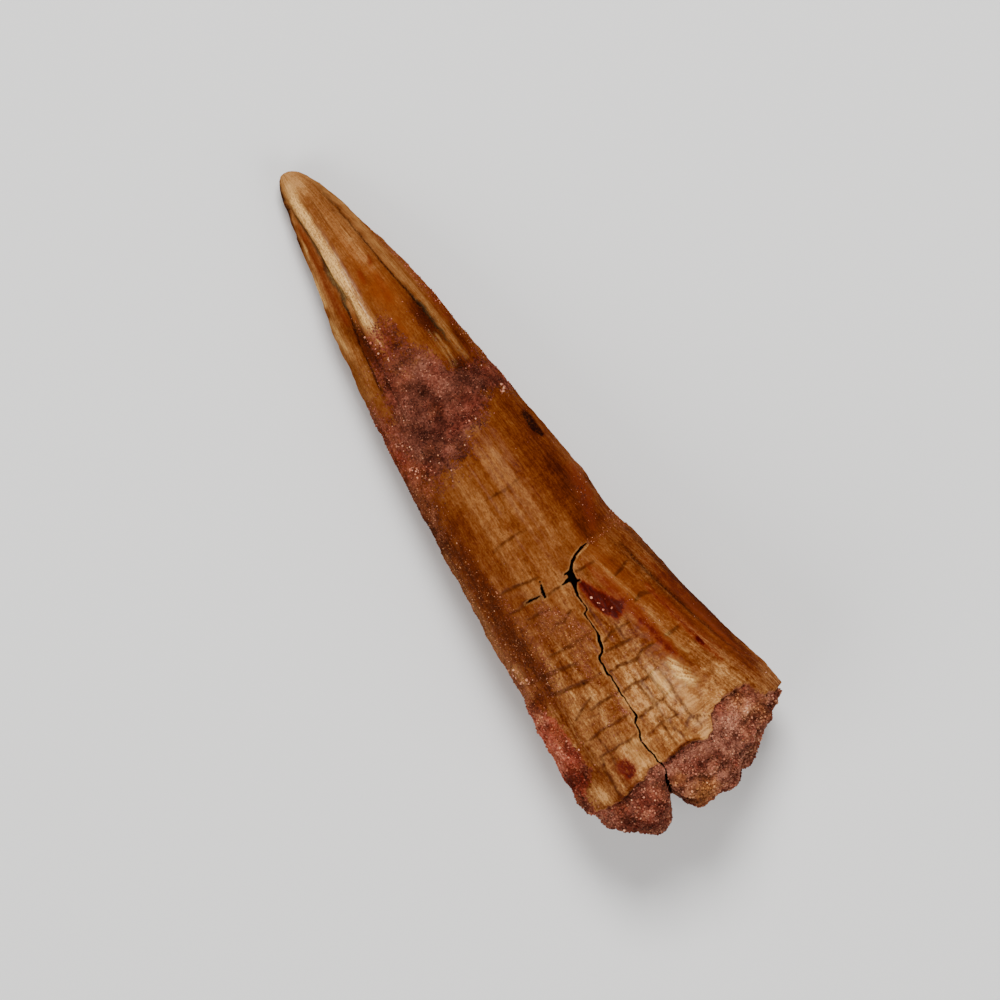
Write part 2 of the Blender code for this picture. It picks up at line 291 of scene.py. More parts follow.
@dataclass(frozen=True)
class ToothForm:
    """The tooth's plain form: ovals strung from the rounded tip to the broken root end."""

    plus_edge: Curve = (
        (0.0, 0.0), (0.05, 0.28), (0.15, 0.48), (0.3, 0.68), (0.6, 0.98), (1.1, 1.32), (2.2, 1.79),
        (3.4, 2.2), (6.0, 2.85), (9.6, 3.6), (13.6, 4.7), (18.1, 5.55), (27.4, 6.95), (39.1, 8.4),
        (47.7, 9.3), (55.0, 9.75), (62.0, 10.45), (66.0, 10.6),
    )
    minus_edge: Curve = (
        (0.0, 0.0), (0.05, 0.3), (0.15, 0.52), (0.4, 0.84), (1.1, 1.26), (2.2, 1.62), (3.6, 2.02),
        (5.0, 2.4), (8.4, 3.15), (12.4, 4.0), (16.7, 4.6), (22.0, 5.1), (30.3, 5.95), (39.3, 6.9),
        (44.7, 7.1), (46.2, 7.55), (53.1, 8.65), (59.3, 9.75), (63.6, 10.75), (66.0, 11.0),
    )
    tip_aside: float = 0.45
    tip_aside_reach: float = 4.0
    middle_line: Curve = (
        (0.0, 1.85), (5.0, 2.45), (12.0, 3.15), (22.0, 3.99), (39.0, 5.5), (50.0, 6.47), (60.0, 7.44),
        (66.0, 7.85),
    )
    top_rise: Curve = (
        (0.0, 0.0), (0.05, 0.24), (0.15, 0.4), (0.3, 0.56), (1.1, 1.05), (3.4, 1.65), (8.4, 2.65),
        (16.7, 3.95), (27.4, 5.1), (39.0, 6.2), (50.0, 7.25), (60.0, 8.3), (66.0, 8.75),
    )
    depth_share: float = 0.92
    enamel_stops: Curve = (
        (-180, 65.2), (-150, 64.6), (-120, 65.8), (-82, 66.0), (-58, 66.0), (-51, 63.8), (-32, 63.7),
        (-21, 64.3), (-17, 65.8), (-11, 66.0), (-5, 65.4), (11, 65.5), (21, 65.3), (29, 66.0), (60, 66.3),
        (75, 66.0), (110, 64.8), (150, 65.9), (180, 65.2),
    )
    end_outline: Curve = (
        (-11.0, 67.2), (-8.5, 68.5), (-5.4, 70.2), (-2.0, 71.6), (1.7, 71.3), (4.6, 71.2), (6.2, 71.5),
        (8.7, 70.8), (11.0, 69.4),
    )
    notch_across: float = 3.4
    notch_depth: float = 2.5
    notch_half_width: float = 0.85
    across_power: float = 0.5
    height_power: float = 0.7
    run_power: float = 0.6

    def half_width(self, distance: Array, turn: Array) -> Array:
        """Half width of the oval on the side that the turn points to, at each distance from the tip."""
        plus, minus = (smooth_curve(edge, distance) for edge in (self.plus_edge, self.minus_edge))
        return np.where(turn >= 0, plus, minus)

    def place(self, start: Array, turn: Array, tilt: Array) -> tuple[Array, Array]:
        """Points of the plain form and their outward directions.

        On the enamel the tilt is 0: across is the half width times the sine of the turn, and the height is
        the middle line plus the rise times the cosine. On the root end the tilt grows to a quarter turn,
        the oval shrinks by powers of its cosine, and the distance runs on to the end's outline by a power
        of its sine.

        Args:
            start: distance at which a point's column leaves the enamel, or its distance on the enamel.
            turn: turn round the tooth.
            tilt: 0 on the enamel and up to pi / 2 at the middle of the root end.

        Returns:
            Points as (distance, across, height), and unit directions in the same order.
        """
        shrink = np.cos(tilt)
        half_width = self.half_width(start, turn)
        rise = np.where(np.cos(turn) >= 0, 1.0, self.depth_share) * smooth_curve(self.top_rise, start)
        middle = smooth_curve(self.middle_line, start)
        aside = self.tip_aside * np.clip(1 - start / self.tip_aside_reach, 0, 1) ** 2
        across = aside + half_width * np.sin(turn) * shrink**self.across_power
        height = middle + rise * np.cos(turn) * shrink**self.height_power
        notch = self.notch_depth * bell(across, self.notch_across, self.notch_half_width)
        run = smooth_curve(self.end_outline, across) - notch - start
        distance = start + run * np.sin(tilt) ** self.run_power
        out_across = rise * np.sin(turn)
        out_up = half_width * np.cos(turn)
        length = np.hypot(out_across, out_up)
        out = (np.sin(tilt) ** 2, out_across / length * shrink, out_up / length * shrink)
        return np.stack((distance, across, height), axis=-1), np.stack(out, axis=-1)


@dataclass(frozen=True)
class Cracks:
    """Every crack that is seen on the better face, as lines of (distance, across, half width)."""

    main: Stroke = (
        (69.6, 3.3, 0.1), (69.0, 3.4, 0.14), (68.6, 3.38, 0.17), (68.1, 3.2, 0.19), (67.5, 3.05, 0.16),
        (66.95, 2.85, 0.1), (66.6, 2.65, 0.03), (66.0, 2.65, 0.05), (65.0, 2.72, 0.05), (64.0, 2.8, 0.05),
        (63.0, 2.88, 0.05), (62.7, 2.84, 0.07), (62.3, 2.6, 0.06), (62.1, 2.52, 0.05), (61.3, 2.47, 0.05),
        (61.15, 2.3, 0.08), (60.95, 2.2, 0.07), (60.9, 2.05, 0.09), (60.55, 1.98, 0.09), (60.2, 1.94, 0.05),
        (59.3, 1.9, 0.02), (58.7, 1.9, 0.02), (58.4, 1.98, 0.05), (57.4, 1.92, 0.05), (56.3, 1.84, 0.05),
        (56.1, 1.96, 0.08), (55.7, 1.94, 0.07), (55.2, 1.88, 0.06), (54.6, 1.78, 0.09), (54.2, 1.62, 0.08),
        (54.15, 1.2, 0.08), (53.85, 1.02, 0.07), (53.5, 0.98, 0.1), (53.0, 0.82, 0.13), (52.6, 0.6, 0.1),
        (52.2, 0.55, 0.05), (51.2, 0.56, 0.03), (50.1, 0.52, 0.04), (50.0, 0.14, 0.05), (49.3, 0.12, 0.02),
        (48.5, 0.14, 0.05), (48.1, 0.02, 0.1), (47.6, -0.12, 0.16), (47.1, -0.28, 0.3), (46.6, -0.42, 0.32),
        (46.25, -0.6, 0.2), (45.85, -0.95, 0.1), (45.45, -1.3, 0.08), (45.2, -1.8, 0.08), (45.0, -2.3, 0.09),
        (44.85, -2.8, 0.08), (44.8, -3.35, 0.02),
    )
    branches: tuple[Stroke, ...] = (
        ((46.75, -0.1, 0.2), (46.7, 0.3, 0.1), (46.68, 0.75, 0.03)),
        ((46.2, -0.4, 0.2), (46.05, 0.0, 0.08), (46.1, 0.05, 0.02)),
        ((47.2, -0.5, 0.12), (47.25, -0.8, 0.08), (47.3, -0.85, 0.03)),
        ((46.75, 2.68, 0.08), (46.4, 2.62, 0.12), (46.0, 2.52, 0.11), (45.3, 2.36, 0.03)),
        ((46.3, 4.6, 0.02), (46.25, 4.1, 0.09), (46.42, 3.5, 0.06), (46.5, 3.0, 0.03)),
    )
    transverse: tuple[Stroke, ...] = (
        ((46.68, 0.7, 0.04), (46.74, 1.5, 0.03), (46.7, 2.55, 0.05)),
        ((46.58, 2.8, 0.08), (46.35, 3.6, 0.12), (46.2, 4.4, 0.13), (46.4, 5.2, 0.07), (46.2, 6.4, 0.03)),
        ((44.95, 2.3, 0.01), (44.7, 3.2, 0.07), (44.4, 4.6, 0.08), (44.3, 5.4, 0.05), (44.2, 7.0, 0.02)),
        ((48.0, 3.0, 0.01), (47.75, 4.1, 0.06), (47.6, 5.3, 0.02)),
        ((49.2, 1.4, 0.02), (49.4, 2.0, 0.07), (49.65, 2.7, 0.08), (49.5, 3.4, 0.09), (49.9, 4.0, 0.05)),
        ((51.9, 1.2, 0.02), (52.0, 2.4, 0.1), (51.9, 3.1, 0.14), (51.8, 4.0, 0.05), (51.6, 5.6, 0.03)),
        ((53.55, 3.8, 0.06), (53.3, 4.9, 0.12), (53.1, 5.8, 0.15), (53.0, 6.8, 0.14), (52.7, 8.2, 0.08),
         (52.3, 9.5, 0.05)),
        ((55.65, 2.5, 0.05), (55.55, 3.7, 0.08), (55.4, 4.25, 0.2), (55.35, 4.6, 0.13), (55.2, 5.6, 0.13),
         (54.95, 6.6, 0.15), (54.7, 7.5, 0.07)),
        ((57.95, 2.0, 0.03), (57.9, 3.4, 0.07), (57.95, 5.1, 0.07)),
        ((57.95, 6.9, 0.03), (57.5, 5.9, 0.08), (56.95, 4.6, 0.04)),
        ((60.25, 2.4, 0.02), (60.2, 3.9, 0.04), (60.1, 5.4, 0.05), (60.25, 6.8, 0.05)),
        ((62.3, 3.0, 0.01), (62.2, 5.0, 0.05), (62.1, 6.9, 0.03)),
        ((62.8, 2.0, 0.02), (62.7, 0.0, 0.05), (62.8, -1.4, 0.02)),
        ((61.1, 2.1, 0.06), (61.0, 0.9, 0.1), (60.9, -0.2, 0.08), (60.8, -1.2, 0.04), (60.7, -2.1, 0.02)),
        ((58.3, 1.7, 0.04), (58.15, 0.5, 0.05), (58.3, -0.4, 0.09), (58.45, -1.0, 0.08), (58.2, -2.0, 0.03)),
        ((56.1, 1.7, 0.04), (56.0, 0.7, 0.07), (56.2, -0.2, 0.08), (56.4, -1.0, 0.14), (56.0, -1.8, 0.07),
         (56.1, -3.0, 0.05)),
        ((54.3, 0.9, 0.04), (54.45, -0.6, 0.12), (54.6, -1.7, 0.04)),
        ((53.4, 0.5, 0.03), (52.9, -0.5, 0.06), (53.2, -2.4, 0.02)),
        ((48.75, -3.8, 0.04), (48.6, -4.6, 0.1), (48.3, -5.5, 0.04)),
        ((46.45, -1.1, 0.08), (46.5, -1.9, 0.07), (46.6, -2.9, 0.03)),
        ((51.8, -4.0, 0.06), (51.6, -4.9, 0.11), (52.1, -5.9, 0.05)),
        ((56.1, -4.6, 0.03), (56.2, -5.2, 0.08), (56.1, -5.9, 0.03)),
        ((40.6, 4.4, 0.02), (40.4, 2.4, 0.05), (40.6, 0.6, 0.02)),
        ((36.2, 2.0, 0.02), (36.4, 0.4, 0.05), (36.2, -1.6, 0.02)),
    )
    flake_edges: tuple[Stroke, ...] = (
        ((64.5, -1.1, 0.01), (64.1, -1.4, 0.04), (63.75, -2.0, 0.07), (63.8, -2.4, 0.05), (64.4, -3.3, 0.03),
         (64.7, -3.7, 0.01)),
        ((64.9, -2.55, 0.02), (63.9, -2.38, 0.06), (63.0, -2.25, 0.08), (61.0, -2.26, 0.06),
         (60.0, -2.38, 0.06), (58.2, -2.2, 0.03)),
        ((65.0, -0.69, 0.02), (63.8, -0.31, 0.04), (61.9, -0.1, 0.05), (60.0, 0.0, 0.05), (57.8, 0.12, 0.03)),
        ((65.0, 0.36, 0.0), (63.4, 0.38, 0.03), (61.8, 0.5, 0.0)),
        ((60.9, -0.2, 0.03), (59.4, -0.36, 0.03), (58.4, -0.25, 0.0)),
        ((63.5, -1.3, 0.0), (61.6, -1.05, 0.04), (60.7, -0.9, 0.0)),
        ((60.6, -1.3, 0.0), (59.0, -1.2, 0.04), (58.4, -1.25, 0.03), (56.6, -0.95, 0.0)),
        ((66.2, 7.4, 0.05), (64.5, 7.35, 0.07), (63.4, 7.2, 0.06), (62.2, 6.85, 0.03)),
        ((54.6, -1.2, 0.0), (53.4, -1.25, 0.04), (52.5, -1.25, 0.0)),
        ((51.5, -0.05, 0.0), (50.6, -0.05, 0.04), (49.8, 0.0, 0.0)),
        ((64.4, 6.2, 0.0), (62.5, 6.0, 0.02), (60.2, 6.05, 0.0)),
    )
    seam: Curve = ((-7.4, 44.4), (-5.0, 44.9), (-3.4, 44.8), (-2.3, 45.0), (-1.3, 45.4), (-1.0, 45.8))
    path: Curve = (
        (30.0, -1.2), (38.0, -2.2), (43.0, -2.7), (44.9, -2.4), (45.5, -1.4), (46.3, -0.6), (47.5, -0.12),
        (49.3, 0.12), (50.4, 0.54), (52.2, 0.6), (53.2, 0.95), (53.9, 1.25), (54.5, 1.74), (56.0, 1.88),
        (58.0, 1.93), (60.2, 2.0), (61.1, 2.38), (62.2, 2.68), (63.2, 2.85), (65.0, 2.72), (66.2, 2.68),
        (67.4, 3.05), (69.0, 3.2), (72.0, 3.2),
    )
    depth: float = 0.6


class Paint(Enum):
    """The measures that each surface point carries to its finish: two gaps to cracks, and shares."""

    CRACK = "crack"
    FINE = "fine"
    DEEP = "deep"
    AMBER = "amber"
    STAIN = "stain"
    BLOOD = "blood"
    PALE = "pale"
    ROSY = "rosy"
    OCHRE = "ochre"
    SAND = "sand"
    DUST = "dust"
    GLOSS = "gloss"


@dataclass(frozen=True)
class Patch:
    """A soft oval of one measure on the better face: its middle, its reach both ways, and what it sets."""

    distance: float
    across: float
    reach_along: float
    reach_across: float
    value: float
    strength: float = 0.92

    def brush(self, base: Array, distance: Array, across: Array) -> Array:
        """The measure drawn from its base towards this patch's value, most in the patch's middle."""
        near = bell(distance, self.distance, self.reach_along) * bell(across, self.across, self.reach_across)
        return base + (self.value - base) * near * self.strength


@dataclass(frozen=True)
class Tones:
    """Where the better face is light, dark, amber, rosy and ochre, each list painted in its order."""

    plain: float = 0.5
    deep: tuple[Patch, ...] = (
        Patch(38.0, 1.6, 9.0, 3.2, 0.46),
        Patch(38.0, 5.3, 10.0, 1.0, 0.7),
        Patch(38.0, -2.6, 9.0, 1.2, 0.7),
        # Darker towards both flanks: partly the enamel's own deep brown, partly painted shade where the sides
        # curve down.
        Patch(37.0, -5.3, 11.0, 1.5, 0.95),
        Patch(43.0, 7.4, 11.0, 1.3, 1.0),
        Patch(48.0, 9.3, 3.5, 0.5, 0.5),
        Patch(31.5, -1.0, 1.6, 3.5, 0.66),
        Patch(58.5, 4.5, 5.0, 2.4, 0.3),
        Patch(51.0, 3.0, 3.5, 2.6, 0.54),
        Patch(59.6, 0.2, 4.5, 1.8, 0.0),
        Patch(64.2, 1.6, 1.4, 0.8, 0.3),
        # Lighter at the shiny spot near the root: partly pale enamel, partly painted highlight.
        Patch(61.0, -2.8, 3.0, 1.3, 0.1),
        Patch(62.6, -6.0, 1.8, 2.2, 0.08),
        Patch(64.0, 3.8, 1.8, 1.1, 0.04),
        Patch(53.0, -5.2, 5.5, 1.5, 0.6),
        # Darker towards the -Y edge: partly deep brown enamel, partly painted shade where the side curves
        # down.
        Patch(54.0, -7.8, 6.0, 1.2, 0.9),
        Patch(57.0, -9.5, 7.0, 1.1, 1.08),
        Patch(43.2, -4.5, 1.4, 1.1, 0.95),
        Patch(60.0, 7.5, 5.0, 0.5, 0.38),
        Patch(52.0, 7.0, 3.0, 0.9, 1.05),
        Patch(58.5, -6.6, 2.5, 0.7, 0.4),
        Patch(65.2, -10.0, 1.2, 0.8, 0.35),
        Patch(47.0, 1.2, 2.5, 1.0, 0.3),
        Patch(43.0, -2.5, 1.5, 1.5, 0.5),
        Patch(65.2, 9.2, 1.3, 0.8, 0.0),
        Patch(11.0, 3.5, 6.0, 0.9, 0.34),
        Patch(18.0, 4.9, 2.3, 0.6, 0.1),
        Patch(21.5, 5.65, 0.8, 0.35, 0.2),
        Patch(46.3, -4.2, 1.0, 1.2, 0.4),
        Patch(21.5, 5.2, 3.0, 0.7, 0.5),
        Patch(8.0, -1.0, 5.0, 1.3, 0.24),
        Patch(1.0, 0.2, 2.0, 1.5, -0.05),
        Patch(21.0, -4.7, 4.0, 0.5, 1.0),
        Patch(10.0, -2.9, 6.0, 0.7, 0.5),
        Patch(19.0, -2.7, 3.0, 0.9, 0.92),
        Patch(27.0, 1.5, 3.5, 3.5, 0.8),
        Patch(27.5, 2.8, 1.8, 1.4, 0.66),
        Patch(20.0, 1.2, 2.6, 2.0, 0.58),
        Patch(23.5, 4.0, 1.5, 0.7, 0.5),
        Patch(31.0, 5.8, 2.5, 1.5, 0.5),
        Patch(25.0, -3.0, 1.7, 1.1, 1.1),
        Patch(69.5, 0.0, 3.0, 14.0, 0.22),
        Patch(58.0, 10.2, 4.0, 1.4, 0.0),
        Patch(62.8, 9.4, 1.0, 1.2, 0.74),
        Patch(65.8, 10.0, 1.6, 0.7, 0.65),
        Patch(69.4, 6.5, 1.4, 3.0, 0.55),
        Patch(68.3, 6.3, 0.9, 1.4, 0.68),
        Patch(54.2, 8.3, 0.9, 0.5, 0.9),
        Patch(58.0, 9.6, 2.6, 0.7, -0.1, 0.9),
        Patch(64.9, 9.1, 0.9, 0.7, 0.0, 1.0),
        Patch(68.0, -0.8, 0.5, 3.2, 0.5),
        Patch(66.9, -1.5, 0.6, 3.0, 0.2),
        Patch(66.2, -6.6, 1.2, 1.6, 0.12),
        Patch(69.0, 1.2, 0.8, 0.9, 0.05),
        Patch(19.0, 3.3, 3.0, 0.5, 1.0),
    )
    amber: tuple[Patch, ...] = (
        Patch(14.0, -0.7, 3.6, 1.3, 1.0, 1.0),
        Patch(9.5, -0.5, 3.0, 0.9, 0.45),
        Patch(52.5, -5.2, 5.0, 1.4, 0.6),
        Patch(52.0, -3.4, 6.0, 0.6, 0.9),
        Patch(58.0, -7.4, 4.5, 1.0, 0.8),
        Patch(48.0, -4.0, 3.0, 1.2, 0.6),
        Patch(18.5, -0.5, 1.5, 0.5, 0.7),
        Patch(12.1, -0.25, 1.0, 0.4, 1.0),
        Patch(13.6, -1.15, 0.7, 0.6, 1.0),
        Patch(11.2, -1.7, 0.5, 0.35, 0.9),
    )
    rosy: tuple[Patch, ...] = (
        Patch(68.5, 6.5, 3.0, 3.2, 0.22),
        Patch(58.5, 10.0, 4.5, 3.0, 0.9),
        Patch(63.4, 10.5, 1.2, 3.0, 0.7),
        Patch(68.0, -2.5, 2.5, 4.5, 0.0),
        Patch(18.0, 1.8, 2.4, 1.4, 0.5),
        Patch(29.0, 6.4, 3.5, 1.2, 0.5),
        Patch(50.5, 3.0, 3.5, 3.0, 0.3),
        Patch(44.3, -5.5, 2.5, 2.5, 0.6),
        Patch(17.0, -4.6, 8.0, 1.5, 0.6),
        Patch(50.5, -2.5, 3.0, 1.5, 0.7),
    )
    ochre: tuple[Patch, ...] = (
        Patch(70.3, 0.8, 1.3, 1.6, 1.0, 1.0),
        Patch(51.5, 3.0, 3.5, 2.5, 0.7),
        Patch(67.9, 2.0, 0.8, 0.9, 0.9),
        Patch(66.8, -8.4, 1.4, 1.4, 0.5),
        Patch(64.8, -7.0, 0.9, 1.8, 0.35),
        Patch(43.0, 7.8, 12.0, 2.2, 0.75),
        Patch(44.5, -5.5, 2.5, 2.5, 0.5),
    )

    def painted(
        self, patches: Sequence[Patch], base: float, distance: Array, across: Array
    ) -> Array:
        """One measure with all its patches on it.

        Args:
            patches: the patches in their order.
            base: the measure where there are none.
            distance: distance from the tip of each surface point.
            across: how far across the tooth each surface point lies.

        Returns:
            The measure at each point.
        """
        measure = np.full_like(distance, base)
        for patch in patches:
            measure = patch.brush(measure, distance, across)
        return measure


@dataclass(frozen=True)
class Brush:
    """A drawn line of one measure: its points, how strong it is, and how far its edge fades."""

    stroke: Stroke
    strength: float
    soft: float
    spare: float = 0.1

    def mask(self, distance: Array, across: Array) -> Array:
        """The line's strength inside its width, with an edge that fades on both sides of it."""
        gap = gap_to(self.stroke, distance, across, self.soft + self.spare)
        return self.strength * soft_step(gap, self.soft, -self.soft)


@dataclass(frozen=True)
class Marks:
    """The lines and blots on the better face, by the measure that they are drawn in."""

    stain: tuple[Brush, ...] = (
        Brush(((3.8, 1.85, 0.05), (6.0, 1.95, 0.09), (8.5, 2.05, 0.16), (9.5, 2.3, 0.2), (11.0, 2.38, 0.16),
               (12.5, 2.45, 0.22), (14.0, 2.75, 0.14), (17.9, 3.75, 0.08), (22.0, 4.4, 0.12)), 1.0, 0.12),
        Brush(((15.6, 2.95, 0.1), (16.6, 3.05, 0.25), (17.8, 3.2, 0.3), (19.0, 3.4, 0.1)), 0.8, 0.25),
        Brush(((19.0, 3.6, 0.06), (21.0, 4.2, 0.2), (23.5, 4.9, 0.1)), 0.45, 0.3),
        Brush(((3.0, -1.7, 0.02), (6.0, -2.05, 0.05), (9.0, -2.3, 0.08), (12.0, -2.5, 0.12),
               (15.0, -2.85, 0.14), (18.0, -3.3, 0.12), (22.0, -3.5, 0.06)), 0.85, 0.12),
        Brush(((16.6, -2.85, 0.2), (18.2, -2.9, 0.45), (20.0, -2.95, 0.4), (21.4, -3.1, 0.2)), 0.6, 0.35),
        Brush(((0.3, 1.1, 0.06), (2.2, 1.95, 0.14), (4.3, 2.5, 0.16), (6.9, 3.1, 0.08)), 0.9, 0.12),
        Brush(((6.9, 3.1, 0.08), (9.4, 3.7, 0.06), (12.3, 4.6, 0.08), (15.0, 5.35, 0.08)), 0.6, 0.1),
        Brush(((3.0, -0.3, 0.02), (5.0, -0.35, 0.05), (7.0, -0.25, 0.02)), 0.5, 0.06),
        Brush(((7.0, -1.3, 0.02), (8.5, -1.35, 0.05), (10.0, -1.3, 0.02)), 0.5, 0.06),
        Brush(((11.3, -0.1, 0.15), (12.3, -0.3, 0.32), (13.0, -0.4, 0.2)), 0.3, 0.25),
        Brush(((10.9, -1.7, 0.15), (11.5, -1.7, 0.25)), 0.35, 0.2),
        Brush(((5.2, -1.4, 0.08), (5.8, -1.4, 0.12)), 0.35, 0.12),
        Brush(((16.5, 4.0, 0.1), (13.0, 3.45, 0.14), (10.0, 2.9, 0.1), (7.0, 2.5, 0.05), (5.0, 2.2, 0.03)),
              0.4, 0.2),
        Brush(((24.0, 6.3, 0.1), (22.6, 6.0, 0.25), (21.0, 5.7, 0.1)), 0.25, 0.25),
        Brush(((42.4, -5.45, 0.04), (41.6, -5.45, 0.3), (41.0, -5.45, 0.06)), 1.0, 0.22),
        # Painted shade: a dark line just inside the -Y edge.
        Brush(((40.9, -6.8, 0.1), (39.6, -6.75, 0.15)), 0.8, 0.2),
        Brush(((34.0, -5.7, 0.2), (32.8, -5.55, 0.38), (31.5, -5.5, 0.3)), 1.3, 0.2),
        Brush(((60.0, 7.2, 0.08), (63.0, 7.3, 0.12), (66.0, 7.4, 0.08)), 0.4, 0.15),
        Brush(((54.2, -6.5, 0.04), (52.0, -6.15, 0.1), (49.5, -5.9, 0.12), (46.0, -5.5, 0.06)), 0.5, 0.15),
        Brush(((62.9, -9.8, 0.08), (58.6, -8.5, 0.16), (53.7, -7.3, 0.2), (46.5, -5.95, 0.1)), 0.8, 0.2),
        Brush(((61.0, -8.45, 0.03), (56.2, -7.1, 0.12), (51.3, -6.5, 0.1), (48.0, -6.1, 0.04)), 0.55, 0.15),
        Brush(((64.0, -10.2, 0.1), (59.5, -9.6, 0.25), (53.7, -8.6, 0.3), (45.8, -7.2, 0.15)), 0.62, 0.35),
        Brush(((58.6, -6.6, 0.12), (58.0, -6.5, 0.15)), 0.6, 0.12),
        Brush(((60.4, -7.1, 0.05), (58.9, -6.7, 0.12)), 0.4, 0.15),
        Brush(((63.6, -3.7, 0.15), (62.7, -3.95, 0.2)), 0.2, 0.2),
        Brush(((61.3, -4.35, 0.08), (60.9, -4.7, 0.08)), 0.3, 0.12),
        Brush(((58.7, 4.6, 0.1), (58.2, 4.3, 0.2)), 0.35, 0.15),
        Brush(((55.45, 4.2, 0.14), (55.4, 4.3, 0.14)), 0.9, 0.15),
        Brush(((58.4, -0.5, 0.12), (58.35, -0.9, 0.12)), 0.4, 0.15),
        Brush(((64.8, 5.9, 0.06), (66.0, 5.9, 0.08)), 0.5, 0.1),
        Brush(((47.9, 8.0, 0.1), (48.1, 6.4, 0.15), (47.9, 4.0, 0.08)), 0.4, 0.25),
        Brush(((49.6, 9.0, 0.1), (49.5, 7.6, 0.15), (49.6, 6.0, 0.08)), 0.4, 0.25),
        Brush(((50.9, 8.6, 0.08), (51.0, 6.6, 0.15)), 0.4, 0.25),
        Brush(((46.4, 8.4, 0.06), (46.3, 6.2, 0.12)), 0.5, 0.2),
    )
    blood: tuple[Brush, ...] = (
        Brush(((64.5, 5.45, 0.82), (64.25, 5.5, 0.86)), 0.66, 0.32),
        Brush(((65.9, 5.8, 0.2), (65.2, 5.65, 0.3)), 0.3, 0.2),
        Brush(((12.9, 0.0, 0.15), (11.7, -0.2, 0.25)), 0.35, 0.18),
        Brush(((11.6, -1.5, 0.18), (11.0, -1.65, 0.18)), 0.35, 0.18),
        Brush(((15.5, -1.0, 0.15), (13.2, -1.3, 0.3)), 0.22, 0.3),
        Brush(((47.0, -0.6, 0.1), (48.3, -1.0, 0.5), (49.7, -1.3, 0.78), (50.8, -1.7, 0.82),
               (51.6, -2.1, 0.66)), 0.92, 0.3),
        Brush(((51.3, -2.1, 0.35), (51.2, -2.9, 0.2)), 0.6, 0.35),
        Brush(((46.4, -2.2, 0.1), (48.9, -2.7, 0.4), (52.2, -3.3, 0.5), (54.8, -3.65, 0.45),
               (57.4, -4.05, 0.4), (58.2, -4.2, 0.2)), 0.42, 0.35),
        Brush(((58.1, -4.2, 0.25), (56.5, -3.95, 0.4), (53.5, -3.45, 0.25)), 0.2, 0.25),
        Brush(((61.0, -7.5, 0.1), (58.6, -6.9, 0.28), (55.0, -6.3, 0.25), (51.3, -5.7, 0.15)), 0.55, 0.25),
        Brush(((60.0, -8.0, 0.1), (57.0, -7.2, 0.15), (53.0, -6.4, 0.12)), 0.3, 0.25),
        Brush(((63.0, -9.9, 0.1), (58.6, -8.9, 0.35), (53.7, -8.0, 0.35), (48.9, -7.0, 0.25)), 0.2, 0.5),
        Brush(((58.8, -6.9, 0.1), (58.1, -6.75, 0.16)), 0.6, 0.15),
        Brush(((15.0, 3.6, 0.25), (12.0, 3.2, 0.35), (8.0, 2.55, 0.25), (5.0, 2.1, 0.1)), 0.4, 0.4),
        Brush(((22.0, 2.4, 0.4), (18.5, 2.7, 0.4), (17.2, 2.3, 0.3)), 0.3, 0.6),
        Brush(((4.0, -2.35, 0.1), (8.0, -3.1, 0.2), (14.0, -4.1, 0.3), (20.0, -4.6, 0.3)), 0.2, 0.4),
        Brush(((24.0, 5.8, 0.2), (27.0, 6.3, 0.5), (31.0, 6.9, 0.3)), 0.4, 0.6),
        Brush(((44.0, -4.6, 0.2), (41.0, -5.9, 0.6), (38.0, -6.4, 0.3)), 0.35, 0.6),
    )
